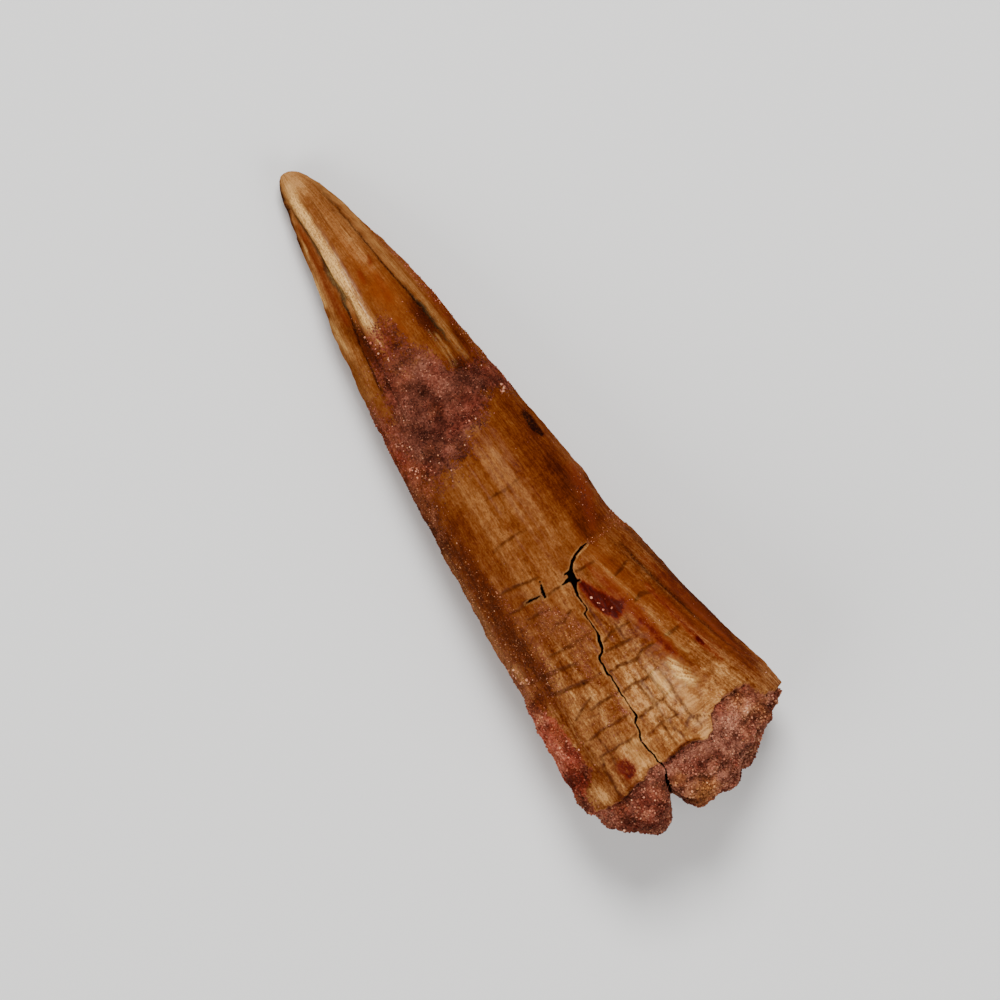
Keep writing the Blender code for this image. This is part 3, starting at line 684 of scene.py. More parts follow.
    # Pale marks: mostly painted highlights, with some pale enamel, a pale flake and a pink lump among them.
    pale: tuple[Brush, ...] = (
        # Painted highlight along the crest of the tip's ridge, in three strokes.
        Brush(((1.5, 0.9, 0.2), (4.0, 1.2, 0.4), (8.0, 1.35, 0.45), (11.0, 1.6, 0.55), (14.0, 1.75, 0.55),
               (16.5, 1.8, 0.5), (18.5, 2.0, 0.1)), 0.5, 0.6),
        Brush(((2.5, 1.0, 0.1), (7.6, 1.2, 0.3), (9.5, 1.4, 0.5), (11.6, 1.5, 0.4), (13.0, 1.5, 0.1)),
              0.5, 0.35),
        Brush(((13.4, 1.75, 0.1), (15.2, 1.8, 0.3), (16.8, 1.85, 0.15)), 0.3, 0.35),
        # Painted highlights: the two shiny spots near the root.
        Brush(((58.4, -1.6, 0.1), (59.8, -1.75, 0.3), (61.0, -1.85, 0.1)), 0.7, 0.6),
        Brush(((58.4, -3.5, 0.15), (60.0, -3.8, 0.45), (61.2, -4.3, 0.15)), 0.85, 0.7),
        Brush(((61.0, -2.9, 0.15), (62.6, -2.9, 0.3), (63.4, -3.1, 0.2)), 0.2, 0.4),
        # Painted highlights along two thin ridges below the red streak.
        Brush(((58.6, -5.3, 0.05), (56.0, -4.75, 0.14), (53.5, -4.4, 0.05)), 0.26, 0.2),
        Brush(((51.8, -4.3, 0.05), (49.5, -3.7, 0.12), (46.0, -3.0, 0.05)), 0.18, 0.18),
        # Painted highlight near the point of the tip.
        Brush(((1.2, 0.6, 0.12), (3.2, 0.9, 0.25), (5.6, 1.15, 0.25)), 0.4, 0.4),
        Brush(((64.9, 3.9, 0.3), (63.0, 3.7, 0.5)), 0.2, 0.6),
        Brush(((68.9, 2.8, 0.1), (68.3, 2.2, 0.35), (68.1, 1.2, 0.15)), 0.4, 0.2),
        Brush(((45.3, -2.0, 0.02), (45.15, -2.9, 0.04), (45.0, -3.4, 0.02)), 0.4, 0.06),
        # Painted highlights: thin glints along the ridges on the -Y side of the tip.
        Brush(((20.0, -2.35, 0.04), (22.0, -2.45, 0.09), (24.0, -2.4, 0.05)), 0.2, 0.2),
        Brush(((20.5, -2.8, 0.04), (22.2, -2.85, 0.09), (24.0, -2.75, 0.05)), 0.2, 0.2),
        Brush(((2.0, -1.6, 0.04), (6.0, -2.45, 0.1), (12.0, -3.05, 0.12), (17.6, -3.6, 0.15),
               (24.0, -3.85, 0.1)), 0.2, 0.35),
        # Painted highlights on the facets of the +Y flange's rim.
        Brush(((17.0, 4.9, 0.1), (15.4, 4.85, 0.2), (14.0, 4.6, 0.1)), 0.4, 0.25),
        Brush(((12.6, 4.25, 0.1), (11.3, 4.05, 0.2), (10.3, 3.85, 0.18), (9.2, 3.55, 0.06)), 0.62, 0.2),
        Brush(((8.2, 3.0, 0.04), (7.2, 2.8, 0.1), (6.4, 2.6, 0.04)), 0.4, 0.12),
        # Painted highlight along the +Y edge; the next stroke is a pink lump.
        Brush(((50.0, 9.15, 0.1), (46.0, 8.8, 0.25), (42.0, 8.5, 0.15), (38.0, 8.1, 0.06)), 0.2, 0.3),
        Brush(((52.2, 8.8, 0.2), (50.8, 8.8, 0.35)), 0.4, 0.4),
    )
    dust: tuple[Brush, ...] = (
        Brush(((46.5, 3.4, 0.2), (49.0, 3.6, 1.2), (51.3, 2.2, 1.2), (53.5, 3.2, 0.8), (55.6, 3.3, 0.3)),
              0.85, 0.8),
        Brush(((44.9, -3.5, 0.15), (44.95, -5.2, 0.3), (44.3, -6.4, 0.8), (44.5, -7.4, 1.2)), 0.8, 0.4),
        Brush(((44.0, -4.6, 0.5), (39.0, -6.2, 0.8)), 0.65, 0.8),
        Brush(((60.0, 2.6, 0.3), (58.0, 2.5, 0.4)), 0.6, 0.4),
        Brush(((50.0, 6.0, 0.8), (56.0, 7.4, 0.8)), 0.25, 1.0),
        Brush(((51.0, -3.2, 0.3), (57.5, -4.2, 0.3)), 0.35, 0.5),
        Brush(((16.0, -0.2, 0.3), (18.0, 0.5, 0.8)), 0.3, 0.8),
        Brush(((26.5, 6.0, 0.6), (24.0, 6.1, 0.5), (22.6, 6.0, 0.2)), 0.75, 0.5),
        Brush(((23.5, 3.9, 0.5), (20.5, 3.45, 0.5), (17.3, 2.9, 0.3), (14.8, 2.65, 0.12)), 0.95, 0.4),
        Brush(((21.8, -2.5, 0.3), (18.2, -2.2, 0.5), (16.0, -2.0, 0.2)), 0.6, 0.45),
        Brush(((24.5, -5.2, 0.3), (18.0, -4.7, 0.3), (12.5, -3.95, 0.2), (8.0, -3.1, 0.08)), 0.9, 0.35),
    )
    gloss: tuple[Brush, ...] = (
        Brush(((3.0, 1.1, 0.1), (8.0, 1.3, 0.4), (12.5, 1.5, 0.4), (17.0, 1.9, 0.1)), 0.4, 0.6),
        Brush(((58.3, -1.7, 0.2), (61.0, -3.8, 0.3)), 0.06, 0.9),
    )
    shadow: tuple[Brush, ...] = (
        Brush(((71.0, 1.8, 0.1), (70.3, 2.3, 0.15), (69.5, 2.9, 0.12)), 0.6, 0.15),
        Brush(((69.1, 2.9, 0.08), (68.7, 2.2, 0.12), (68.5, 1.3, 0.18), (69.0, 0.2, 0.25), (69.6, -0.4, 0.25),
               (69.7, -1.6, 0.2), (69.4, -2.8, 0.25), (69.6, -4.0, 0.25), (69.2, -5.3, 0.15)), 0.5, 0.3),
        Brush(((67.9, -0.4, 0.15), (67.95, -1.4, 0.3), (68.0, -2.6, 0.2)), 0.48, 0.35),
        Brush(((67.8, -3.6, 0.2), (67.6, -5.1, 0.3)), 0.48, 0.35),
        Brush(((66.0, 2.4, 0.1), (65.7, 1.0, 0.2), (65.6, -0.5, 0.2), (65.9, -1.7, 0.1)), 0.6, 0.2),
        Brush(((70.3, 7.4, 0.4), (70.3, 6.0, 0.5), (69.8, 5.3, 0.4), (69.0, 4.8, 0.4)), 0.25, 0.5),
        Brush(((69.8, 9.0, 0.4), (68.3, 10.2, 0.4)), 0.2, 0.5),
        Brush(((66.4, 9.0, 0.3), (66.3, 7.4, 0.35), (66.4, 5.6, 0.35), (66.1, 4.0, 0.25)), 0.25, 0.3),
        Brush(((66.9, -6.3, 0.4), (67.3, -7.6, 0.4)), 0.35, 0.5),
        Brush(((64.4, -6.0, 0.2), (64.5, -7.4, 0.3), (65.0, -8.4, 0.2)), 0.35, 0.4),
        Brush(((67.2, -10.3, 0.4), (68.4, -8.6, 0.3)), 0.35, 0.4),
    )
    quartz: tuple[Brush, ...] = (
        Brush(((31.3, 5.4, 0.1), (31.1, 5.5, 0.2)), 1.0, 0.15),
        Brush(((30.6, 6.15, 0.15), (29.9, 6.0, 0.3)), 1.0, 0.2),
        Brush(((29.6, 4.6, 0.05), (29.2, 4.85, 0.1)), 1.0, 0.1),
        Brush(((29.95, 3.05, 0.2), (29.8, 3.1, 0.2)), 1.0, 0.12),
        Brush(((28.1, 5.2, 0.1), (27.0, 5.8, 0.2)), 0.8, 0.2),
        Brush(((30.4, 0.3, 0.1), (28.8, -1.2, 0.3)), 0.25, 0.25),
        Brush(((28.4, -4.9, 0.15), (28.1, -5.2, 0.2)), 1.0, 0.2),
        Brush(((52.3, 8.7, 0.3), (51.0, 8.9, 0.4)), 0.5, 0.3),
        Brush(((67.3, -9.6, 0.2), (67.0, -9.9, 0.3)), 0.8, 0.3),
        Brush(((69.3, -6.2, 0.2), (68.9, -6.8, 0.3)), 0.7, 0.3),
        Brush(((61.5, 9.0, 0.2), (59.5, 9.4, 0.6)), 0.3, 0.4),
        Brush(((21.0, 2.0, 0.3), (17.5, 2.4, 0.4)), 0.25, 0.5),
        Brush(((51.3, -1.8, 0.2), (50.7, -1.2, 0.2), (49.4, -1.0, 0.2)), 0.26, 0.15),
    )

    def drawn(self, brushes: Sequence[Brush], distance: Array, across: Array) -> Array:
        """One measure at each surface point: all its lines together."""
        return np.sum([brush.mask(distance, across) for brush in brushes], axis=0)


@dataclass(frozen=True)
class Ground:
    """Where the sand, the crust, the root end and the dust lie. Each Span is the range of one soft step."""

    top_cosines: Span = (-0.2, 0.1)
    saddle_root_side: Curve = (
        (-6.0, 29.0), (-5.0, 28.2), (-4.0, 27.9), (-3.0, 28.6), (-2.0, 29.4), (-1.0, 29.9), (0.0, 30.4),
        (0.8, 31.2), (2.0, 31.8), (5.0, 32.2), (6.5, 34.0), (7.6, 38.0),
    )
    saddle_root_fade: Span = (-1.8, 2.0)
    saddle_tip_side: Curve = (
        (-6.0, 25.0), (-4.2, 23.9), (-1.9, 23.8), (-1.5, 20.8), (-0.6, 19.4), (-0.2, 17.2), (0.6, 16.2),
        (3.2, 16.8), (3.9, 19.5), (4.5, 23.0), (5.1, 24.4), (5.8, 22.8), (6.4, 21.2), (7.4, 20.6),
    )
    saddle_tip_fade: Span = (-1.8, 2.8)
    thinner_tail: float = 0.35
    thinner_tail_distances: Span = (24.0, 20.0)
    thinner_side: float = 0.3
    thinner_side_across: Span = (4.5, 6.0)
    crust_edge: Curve = (
        (52.6, 10.4), (53.4, 9.5), (54.2, 8.7), (55.5, 8.45), (57.0, 8.2), (60.0, 8.05), (62.5, 8.1),
        (63.4, 8.6), (63.9, 9.6), (65.0, 9.75), (66.2, 9.75), (67.5, 10.2),
    )
    crust_wander: float = 0.3
    crust_fade: Span = (-0.05, 0.25)
    crust_begins: Span = (53.5, 55.0)
    crust_ends: Span = (66.5, 67.5)
    crust_cosines: Span = (-0.45, -0.1)
    margin_across: Span = (5.2, 6.4)
    margin_begins: Span = (26.0, 31.0)
    margin_ends: Span = (52.0, 57.0)
    film_width: float = 1.0
    film_begins: Span = (20.0, 30.0)
    film_ends: Span = (58.0, 64.0)
    film_plus: float = 0.8
    film_minus: float = 0.15

    def masks(self, form: ToothForm, point: Array, turn: Array, tilt: Array) -> Masks:
        """Where each kind of ground lies, from 0 to 1.

        Args:
            form: the tooth's plain form.
            point: points of the plain form.
            turn: turn round the tooth.
            tilt: tilt of each point, over 0 only on the root end.

        Returns:
            One array for each of the names top, saddle, crust, root, margin and film.
        """
        distance, across = point[..., 0], point[..., 1]
        top = soft_step(np.cos(turn), *self.top_cosines)
        wander = Texture.SAND_BORDER.on(point) + Texture.GRITTY_BORDER.on(point)
        to_root_side = straight_curve(self.saddle_root_side, across) - distance + wander
        from_tip_side = distance - straight_curve(self.saddle_tip_side, across) + wander
        saddle = soft_step(to_root_side, *self.saddle_root_fade)
        saddle *= soft_step(from_tip_side, *self.saddle_tip_fade)
        tail = self.thinner_tail * soft_step(distance, *self.thinner_tail_distances)
        saddle *= 1 - tail - self.thinner_side * soft_step(across, *self.thinner_side_across)
        edge = straight_curve(self.crust_edge, distance) + self.crust_wander * wander
        crust = soft_step(across - edge, *self.crust_fade) * soft_step(distance, *self.crust_begins)
        crust *= 1 - soft_step(distance, *self.crust_ends)
        crust *= soft_step(np.cos(turn), *self.crust_cosines)
        margin = soft_step(across, *self.margin_across) * soft_step(distance, *self.margin_begins)
        margin *= 1 - soft_step(distance, *self.margin_ends)
        side = form.half_width(distance, turn) - np.abs(across)
        film = bell(side, 0.0, self.film_width) * soft_step(distance, *self.film_begins)
        film *= 1 - soft_step(distance, *self.film_ends)
        film *= np.where(across > 0, self.film_plus, self.film_minus)
        return {
            "top": top,
            "saddle": saddle * top,
            "crust": crust,
            "root": np.where(tilt > 0, 1.0, 0.0),
            "margin": margin * top,
            "film": film,
        }


@dataclass(frozen=True)
class Furrow:
    """A furrow along the tip with a raised bead beside it: its path, and the size of both."""

    path: Curve
    depth: float
    width: float
    bead_height: float
    bead_aside: float
    bead_width: float

    def bead(self, distance: Array, across: Array) -> Array:
        """Height of the bead at each point, a bell across the tooth."""
        middle = smooth_curve(self.path, distance) - self.bead_aside
        return self.bead_height * bell(across, middle, self.bead_width)

    def cut(self, distance: Array, across: Array) -> Array:
        """Depth of the furrow at each point, a bell across the tooth."""
        return self.depth * bell(across, smooth_curve(self.path, distance), self.width)


@dataclass(frozen=True)
class Relief:
    """Heights over the plain form, in millimetres. Each Span is the range of one soft step."""

    ridge_squeeze: float = 0.03
    ridges_begin: Span = (4.0, 14.0)
    strong_ridges: float = 1.1
    strong_ridges_turn: float = -0.7
    strong_ridges_width: float = 0.4
    strong_ridges_begin: Span = (45.0, 50.0)
    ripple_squeeze: float = 0.2
    wrinkles_begin: Span = (50.0, 58.0)

    furrows: tuple[Furrow, ...] = (
        Furrow(
            ((2.0, 1.75), (4.0, 1.95), (8.0, 1.98), (10.0, 2.25), (14.0, 2.4), (17.0, 3.0), (20.0, 3.35),
             (24.0, 3.9), (30.0, 5.0)),
            depth=0.36, width=0.2, bead_height=0.26, bead_aside=0.95, bead_width=0.6,
        ),
        Furrow(
            ((3.0, -1.6), (7.0, -2.1), (9.0, -2.35), (12.0, -2.65), (16.0, -3.0), (20.0, -3.3), (24.0, -3.5),
             (30.0, -3.9)),
            depth=0.3, width=0.24, bead_height=0.2, bead_aside=0.55, bead_width=0.4,
        ),
    )
    furrows_begin: Span = (1.0, 4.0)
    furrows_end: Span = (22.0, 29.0)
    furrow_cosines: Span = (0.0, 0.25)

    side_edge: float = 0.1
    side_edge_width: float = 0.1
    side_edge_begins: Span = (0.6, 3.0)
    side_edge_ends: Span = (46.0, 54.0)
    chip_squeeze: Triple = (1.0, 0.3, 0.3)
    plus_chips: float = 0.5
    plus_chips_most: float = 0.05
    minus_chips: float = 0.16

    saddle_height: float = 0.06
    saddle_grain: float = 0.1
    crust_height: float = 0.3
    crust_grain: float = 0.12
    dust_grain: float = 0.05
    root_lumps: tuple[Lumps, ...] = (Lumps(0.45, size=3.4, seed=8), Lumps(0.12, size=1.8, seed=2))
    root_lumps_tilts: Span = (0.0, 0.4)
    root_grain: float = 0.14
    root_sunk: float = 0.62
    flake_squeeze: Triple = (0.5, 1.0, 1.0)
    flake_height: float = 0.05
    flake_step: Span = (0.16, 0.19)

    def side(self, point: Array, turn: Array) -> Array:
        """Height of the chipped edge along both sides: a bell round a quarter turn, with chips in it.

        Args:
            point: points of the plain form.
            turn: turn round the tooth.

        Returns:
            The height in millimetres.
        """
        distance = point[..., 0]
        chips = Texture.CHIPS.on(point * np.array(self.chip_squeeze))
        plus = self.plus_chips * np.minimum(chips, self.plus_chips_most)
        chipped = np.where(turn > 0, plus, self.minus_chips * chips)
        edge = bell(np.abs(turn), pi / 2, self.side_edge_width) * soft_step(distance, *self.side_edge_begins)
        return edge * ((1 - soft_step(distance, *self.side_edge_ends)) * (self.side_edge + chipped))

    def height(
        self, point: Array, turn: Array, tilt: Array, masks: Masks, girth: Array
    ) -> Array:
        """How far the surface stands proud of the plain form, before the cracks are taken away.

        It is the sum of ridges that keep their turn, the tip's furrows and beads, the chipped side edge,
        the sand's thickness and grain, and the root end's lumps.

        Args:
            point: points of the plain form.
            turn: turn round the tooth.
            tilt: tilt of each point.
            masks: where each kind of ground lies.
            girth: coordinates that follow the ridges.

        Returns:
            The height in millimetres of each point over the plain form.
        """
        distance, across = point[..., 0], point[..., 1]
        ridges = Texture.RIDGES.on(girth) + Texture.SMALL_RIDGES.on(girth)
        ridges *= soft_step(distance, *self.ridges_begin)
        strong = self.strong_ridges * bell(turn, self.strong_ridges_turn, self.strong_ridges_width)
        ridges *= 1 + strong * soft_step(distance, *self.strong_ridges_begin)
        ripples = Texture.RIPPLES.on(np.stack((distance, across * self.ripple_squeeze, turn), axis=-1))
        ripples += Texture.WRINKLES.on(point) * soft_step(distance, *self.wrinkles_begin)

        at_tip = soft_step(distance, *self.furrows_begin) * (1 - soft_step(distance, *self.furrows_end))
        at_tip *= soft_step(np.cos(turn), *self.furrow_cosines)
        swaying = across + Texture.FURROW_SWAY.on(point)
        tip = sum(furrow.bead(distance, across) for furrow in self.furrows)
        tip = tip - sum(furrow.cut(distance, swaying) for furrow in self.furrows)

        grain = Texture.GRAIN.on(point)
        sand = self.saddle_height + Texture.SADDLE_LUMPS.on(point) + self.saddle_grain * grain
        crust = self.crust_height + Texture.CRUST_LUMPS.on(point) + self.crust_grain * grain
        dusty = np.clip(masks["margin"] + masks["film"], 0, 1) * self.dust_grain * grain

        lumps = sum(waves.on(point) for waves in self.root_lumps)
        lumps = lumps * soft_step(tilt, *self.root_lumps_tilts) + Texture.ROOT_LUMPS.on(point)
        root = masks["root"] * (lumps + self.root_grain * grain - self.root_sunk)

        flakes = Texture.FLAKES.on(point * np.array(self.flake_squeeze))
        flakes = self.flake_height * soft_step(flakes, *self.flake_step)
        enamel = ridges + ripples + at_tip * tip + self.side(point, turn) + flakes
        ground = (1 - masks["root"]) * enamel + masks["saddle"] * sand + masks["crust"] * crust
        return ground + dusty + root


@dataclass(frozen=True)
class Shading:
    """How the painted measures vary with the ground. Each Span is the range of one soft step."""

    streak_squeeze: float = 0.05
    fan_rate: float = 0.23
    fan_start: float = 53.0
    fan_least: float = -6.0
    fan_across: Span = (3.0, 5.0)
    seam_fade: Span = (0.0, 0.3)
    seam_depth: float = 0.08
    seam_begins: Span = (40.0, 44.0)
    seam_across: Span = (0.9, 1.4)
    sand_mottle: float = 0.75
    saddle_calm: float = 0.35
    speck_mottle: float = 0.3
    plain_rosy: float = 0.12
    lip_highlight: float = 0.15
    lip_gap: float = 0.1
    lip_width: float = 0.06
    lip_ends: Span = (66.5, 64.5)
    plain_gloss: float = 0.05
    dull_distance: float = 44.0
    dull_along: float = 14.0
    dull_across: float = -2.0
    dull_aside: float = 4.0
    gloss_begins: Span = (20.0, 40.0)
    margin_dust: float = 0.7
    film_dust: float = 0.5
    clean_minus: float = 0.75
    clean_across: Span = (4.5, 6.5)
    clean_ends: Span = (8.0, 22.0)
    patch_dust: float = 0.3
    patch_dust_step: Span = (0.1, 0.4)
    low_dust: float = 0.2
    low_dust_begins: Span = (44.0, 50.0)
    underside_dust: float = 0.8
    underside_dust_step: Span = (0.05, 0.3)


@dataclass
class ToothSkin:
    """The tooth's whole visible surface, worked out on a grid of rings along it and columns round it."""

    form: ToothForm = ToothForm()
    cracks: Cracks = Cracks()
    tones: Tones = Tones()
    marks: Marks = Marks()
    ground: Ground = Ground()
    relief: Relief = Relief()
    look: Shading = Shading()

    tip_rings: int = 12
    tip_rings_end: float = 2.4
    shaft_rings: int = 170
    shaft_rings_end: float = 43.8
    crack_rings: int = 136
    crack_rings_end: float = 58.0
    margin_rings: int = 68
    margin_rings_end: float = 65.2
    end_rings: int = 44
    end_first_share: float = 0.002
    end_ease: float = 1.15
    end_last_tilt: float = 1.55
    ledge_run: float = 0.12

    crack_columns: int = 21
    crack_columns_reach: float = 0.6
    crack_columns_least_width: float = 4.0
    side_columns: int = 75
    side_ease: float = 1.35
    low_columns: int = 31
    lean_begins: Span = (8.0, 30.0)
    most_lean: float = 0.9

    girth_radius: float = 10.0
    fan_turns_begin: Span = (0.1, 0.6)
    fan_turns_end: Span = (1.4, 2.2)
    fan_start: float = 47.0
    fan_rate: float = 0.022

    open_crack: Span = (0.02, -0.1)
    scratch_depth: float = 0.06
    scratch: Span = (0.08, -0.04)
    shadow_depth: float = 0.3
    far_gap: float = 1.0
    seen_from: float = 0.5

    def column_turns(self, distance: Array) -> Array:
        """Turn of every column on each ring: close together along the main crack, even elsewhere.

        The columns near the top lean with the crack's path by the square of their cosine, so that they
        keep their order, and those at the side edges and underneath run straight.

        Args:
            distance: distance of each ring from the tip.

        Returns:
            One row of turns, from -pi to just under pi, for each ring.
        """
        distance = distance[:, None]
        across = smooth_curve(self.cracks.path, distance)
        across = across * soft_step(distance, *self.lean_begins)
        lean = across / self.form.half_width(distance, across)
        lean = np.arcsin(np.clip(lean, -self.most_lean, self.most_lean))
        close = np.linspace(-1, 1, self.crack_columns) * self.crack_columns_reach
        band = close / np.maximum(self.form.half_width(distance, lean), self.crack_columns_least_width)
        edge = band[:, -1:]
        spread = np.linspace(0, 1, self.side_columns + 1)[1:] ** self.side_ease
        side = edge + (pi / 2 - edge) * spread
        low = pi / 2 + (pi / 2) * np.arange(1, self.low_columns) / self.low_columns
        low = np.broadcast_to(low, (len(distance), len(low)))
        bottom = np.full((len(distance), 1), -pi)
        turns = np.concatenate((bottom, -low[:, ::-1], -side[:, ::-1], band, side, low), axis=1)
        upper = np.where(np.abs(turns) < pi / 2, np.cos(turns) ** 2, 0.0)
        return turns + upper * lean

    def grid(self) -> tuple[Array, Array, Array]:
        """Start, turn and tilt of every point of the surface.

        Rings stand square to the tooth up to the crack zone's end, then lean so that the last one on the
        enamel follows its jagged edge. The root end's rings all start from that edge.

        Returns:
            Three arrays of rings by columns.
        """
        tip = self.tip_rings_end * (np.arange(1, self.tip_rings + 1) / (self.tip_rings + 1)) ** 2
        shaft = np.linspace(self.tip_rings_end, self.shaft_rings_end, self.shaft_rings, endpoint=False)
        cracked = np.linspace(self.shaft_rings_end, self.crack_rings_end, self.crack_rings)
        square = np.concatenate((tip, shaft, cracked))
        share = np.linspace(0, 1, self.margin_rings + 1)[1:]
        leaning = self.crack_rings_end + share * (self.margin_rings_end - self.crack_rings_end)
        turn = self.column_turns(np.concatenate((square, leaning)))
        start = np.repeat(square[:, None], turn.shape[1], axis=1)

        last = turn[-1]
        stops = straight_curve(self.form.enamel_stops, np.degrees(last))
        circle = np.stack((np.cos(last), np.sin(last)), axis=-1)
        stops = stops + Texture.JAGGED_EDGE.on(circle) + Texture.TOOTHED_EDGE.on(circle)
        rows = self.crack_rings_end + share[:, None] * (stops - self.crack_rings_end)
        root = np.repeat((stops + self.ledge_run)[None], self.end_rings, axis=0)
        tilt = np.linspace(self.end_first_share, 1, self.end_rings) ** self.end_ease * self.end_last_tilt
        tilts = np.concatenate((np.zeros(len(square) + len(share)), tilt))
        turns = np.concatenate((turn, np.repeat(last[None], self.end_rings, axis=0)))
        return np.concatenate((start, rows, root)), turns, np.repeat(tilts[:, None], turn.shape[1], axis=1)

    def girth(self, distance: Array, turn: Array, squeeze: float) -> Array:
        """Coordinates that follow the ridges and streaks, which fan outwards on the -Y side near the root.

        They are a circle round the tooth, from the turn that a streak keeps, and the squeezed distance.

        Args:
            distance: distance from the tip.
            turn: turn round the tooth.
            squeeze: what the distance is multiplied by.

        Returns:
            Two coordinates round the tooth and one along it.
        """
        fan = soft_step(-turn, *self.fan_turns_begin) * (1 - soft_step(-turn, *self.fan_turns_end))
        kept = turn + self.fan_rate * np.clip(distance - self.fan_start, 0, None) * fan
        circle = np.cos(kept) * self.girth_radius, np.sin(kept) * self.girth_radius
        return np.stack((*circle, distance * squeeze), axis=-1)

    def warped(self, point: Array) -> tuple[Array, Array]:
        """Distance and across shifted by a small noise, so that every drawn line gets a natural wobble.

        Args:
            point: points of the plain form.

        Returns:
            The shifted distance and the shifted across.
        """
        flat = point * np.array((1.0, 1.0, 0.0))
        distance = point[..., 0] + Texture.SWAY_ALONG.on(flat) + Texture.SHAKE_ALONG.on(flat)
        across = point[..., 1] + Texture.SWAY_ACROSS.on(flat) + Texture.SHAKE_ACROSS.on(flat)
        return distance, across

    def drifted(self, point: Array) -> tuple[Array, Array]:
        """Distance and across shifted by a broad noise, so that patches of tone have uneven borders."""
        along = point[..., 0] + Texture.DRIFT_ALONG.on(point)
        return along, point[..., 1] + Texture.DRIFT_ACROSS.on(point)

    def cracked(self, point: Array) -> Array:
        """Depth that the cracks take away: open ones deep, fine ones a scratch, and the root's hollows.

        Args:
            point: points of the plain form.

        Returns:
            The depth in millimetres.
        """
        distance, across = self.warped(point)
        gap = gap_to_all((self.cracks.main, *self.cracks.branches), distance, across)
        fine = gap_to_all(self.cracks.transverse, distance, across)
        cut = self.cracks.depth * soft_step(gap, *self.open_crack)
        cut += self.scratch_depth * soft_step(fine, *self.scratch)
        cut += self.shadow_depth * self.marks.drawn(self.marks.shadow, distance, across)
        return cut

    def deepened(self, point: Array, turn: Array, masks: Masks) -> Array:
        """How dark each point is, before the painted shade of the root end's hollows and the enamel's broken
        edge is added.

        Args:
            point: points of the plain form.
            turn: turn round the tooth.
            masks: where each kind of ground lies.

        Returns:
            The measure called deep.
        """
        look, tones = self.look, self.tones
        distance, across = point[..., 0], point[..., 1]
        top = masks["top"]
        deep = tones.painted(tones.deep, tones.plain, *self.drifted(point))
        deep = tones.plain + (deep - tones.plain) * top
        beyond = straight_curve(self.cracks.seam, across) - distance + Texture.SEAM_SWAY.on(point)
        beyond = look.seam_depth * soft_step(beyond, *look.seam_fade)
        beyond = beyond * soft_step(distance, *look.seam_begins)
        deep += beyond * soft_step(-across, *look.seam_across) * top
        streaks = Texture.STREAK_TONE.on(self.girth(distance, turn, look.streak_squeeze))
        deep += streaks * (1 - masks["root"]) + Texture.CLOUD_TONE.on(point)
        sand = masks["saddle"] + masks["crust"] + masks["root"]
        mottle = look.sand_mottle * sand - look.saddle_calm * masks["saddle"]
        deep += mottle * Texture.SAND_TONE.on(point)
        deep += look.speck_mottle * (masks["margin"] + masks["saddle"]) * Texture.SPECK_TONE.on(point)
        return deep

    def dusted(self, point: Array, masks: Masks) -> Array:
        """How much loose sand clings to each point.

        Args:
            point: points of the plain form.
            masks: where each kind of ground lies.

        Returns:
            The measure called dust.
        """
        look = self.look
        distance, across = point[..., 0], point[..., 1]
        top = masks["top"]
        dust = look.margin_dust * masks["margin"] + look.film_dust * masks["film"]
        dust = dust + self.marks.drawn(self.marks.dust, distance, across)
        kept = 1 - look.clean_minus * soft_step(-across, *look.clean_across)
        kept = kept * soft_step(distance, *look.clean_ends)
        patches = soft_step(Texture.DUST_PATCHES.on(point), *look.patch_dust_step)
        dust += look.patch_dust * top * kept * patches
        dust += look.low_dust * top * kept * soft_step(distance, *look.low_dust_begins)
        below = soft_step(Texture.UNDERSIDE_PATCHES.on(point), *look.underside_dust_step)
        dust += (1 - top) * look.underside_dust * below
        return dust

    def paint(self, point: Array, turn: Array, masks: Masks) -> dict[Paint, Array]:
        """Every painted measure, from the strokes and patches seen from above.

        Args:
            point: points of the plain form.
            turn: turn round the tooth.
            masks: where each kind of ground lies.

        Returns:
            One array for each measure.
        """
        look, tones, marks = self.look, self.tones, self.marks
        distance, across = point[..., 0], point[..., 1]
        top = masks["top"]
        along, drifted = self.drifted(point)
        fan = look.fan_rate * np.clip(distance - look.fan_start, look.fan_least, None)
        fanned = drifted + fan * soft_step(-across, *look.fan_across)
        rosy = tones.painted(tones.rosy, look.plain_rosy, distance, across) + Texture.ROSY_TONE.on(point)
        ochre = tones.painted(tones.ochre, 0.0, distance, drifted) * top + Texture.OCHRE_TONE.on(point)

        shifted, aside = self.warped(point)
        crack = gap_to_all((self.cracks.main, *self.cracks.branches), shifted, aside)
        fine = gap_to_all((*self.cracks.transverse, *self.cracks.flake_edges), shifted, aside)

        pale = marks.drawn(marks.pale, shifted, aside)
        # A painted highlight along the lips of the main crack and its branches, fading out at the root end.
        lip = look.lip_highlight * bell(crack, look.lip_gap, look.lip_width)
        pale += lip * soft_step(distance, *look.lip_ends)
        dull = bell(distance, look.dull_distance, look.dull_along)
        dull = dull * bell(across, look.dull_across, look.dull_aside)
        gloss = marks.drawn(marks.gloss, distance, across)
        gloss += look.plain_gloss * (1 - dull) * soft_step(distance, *look.gloss_begins)

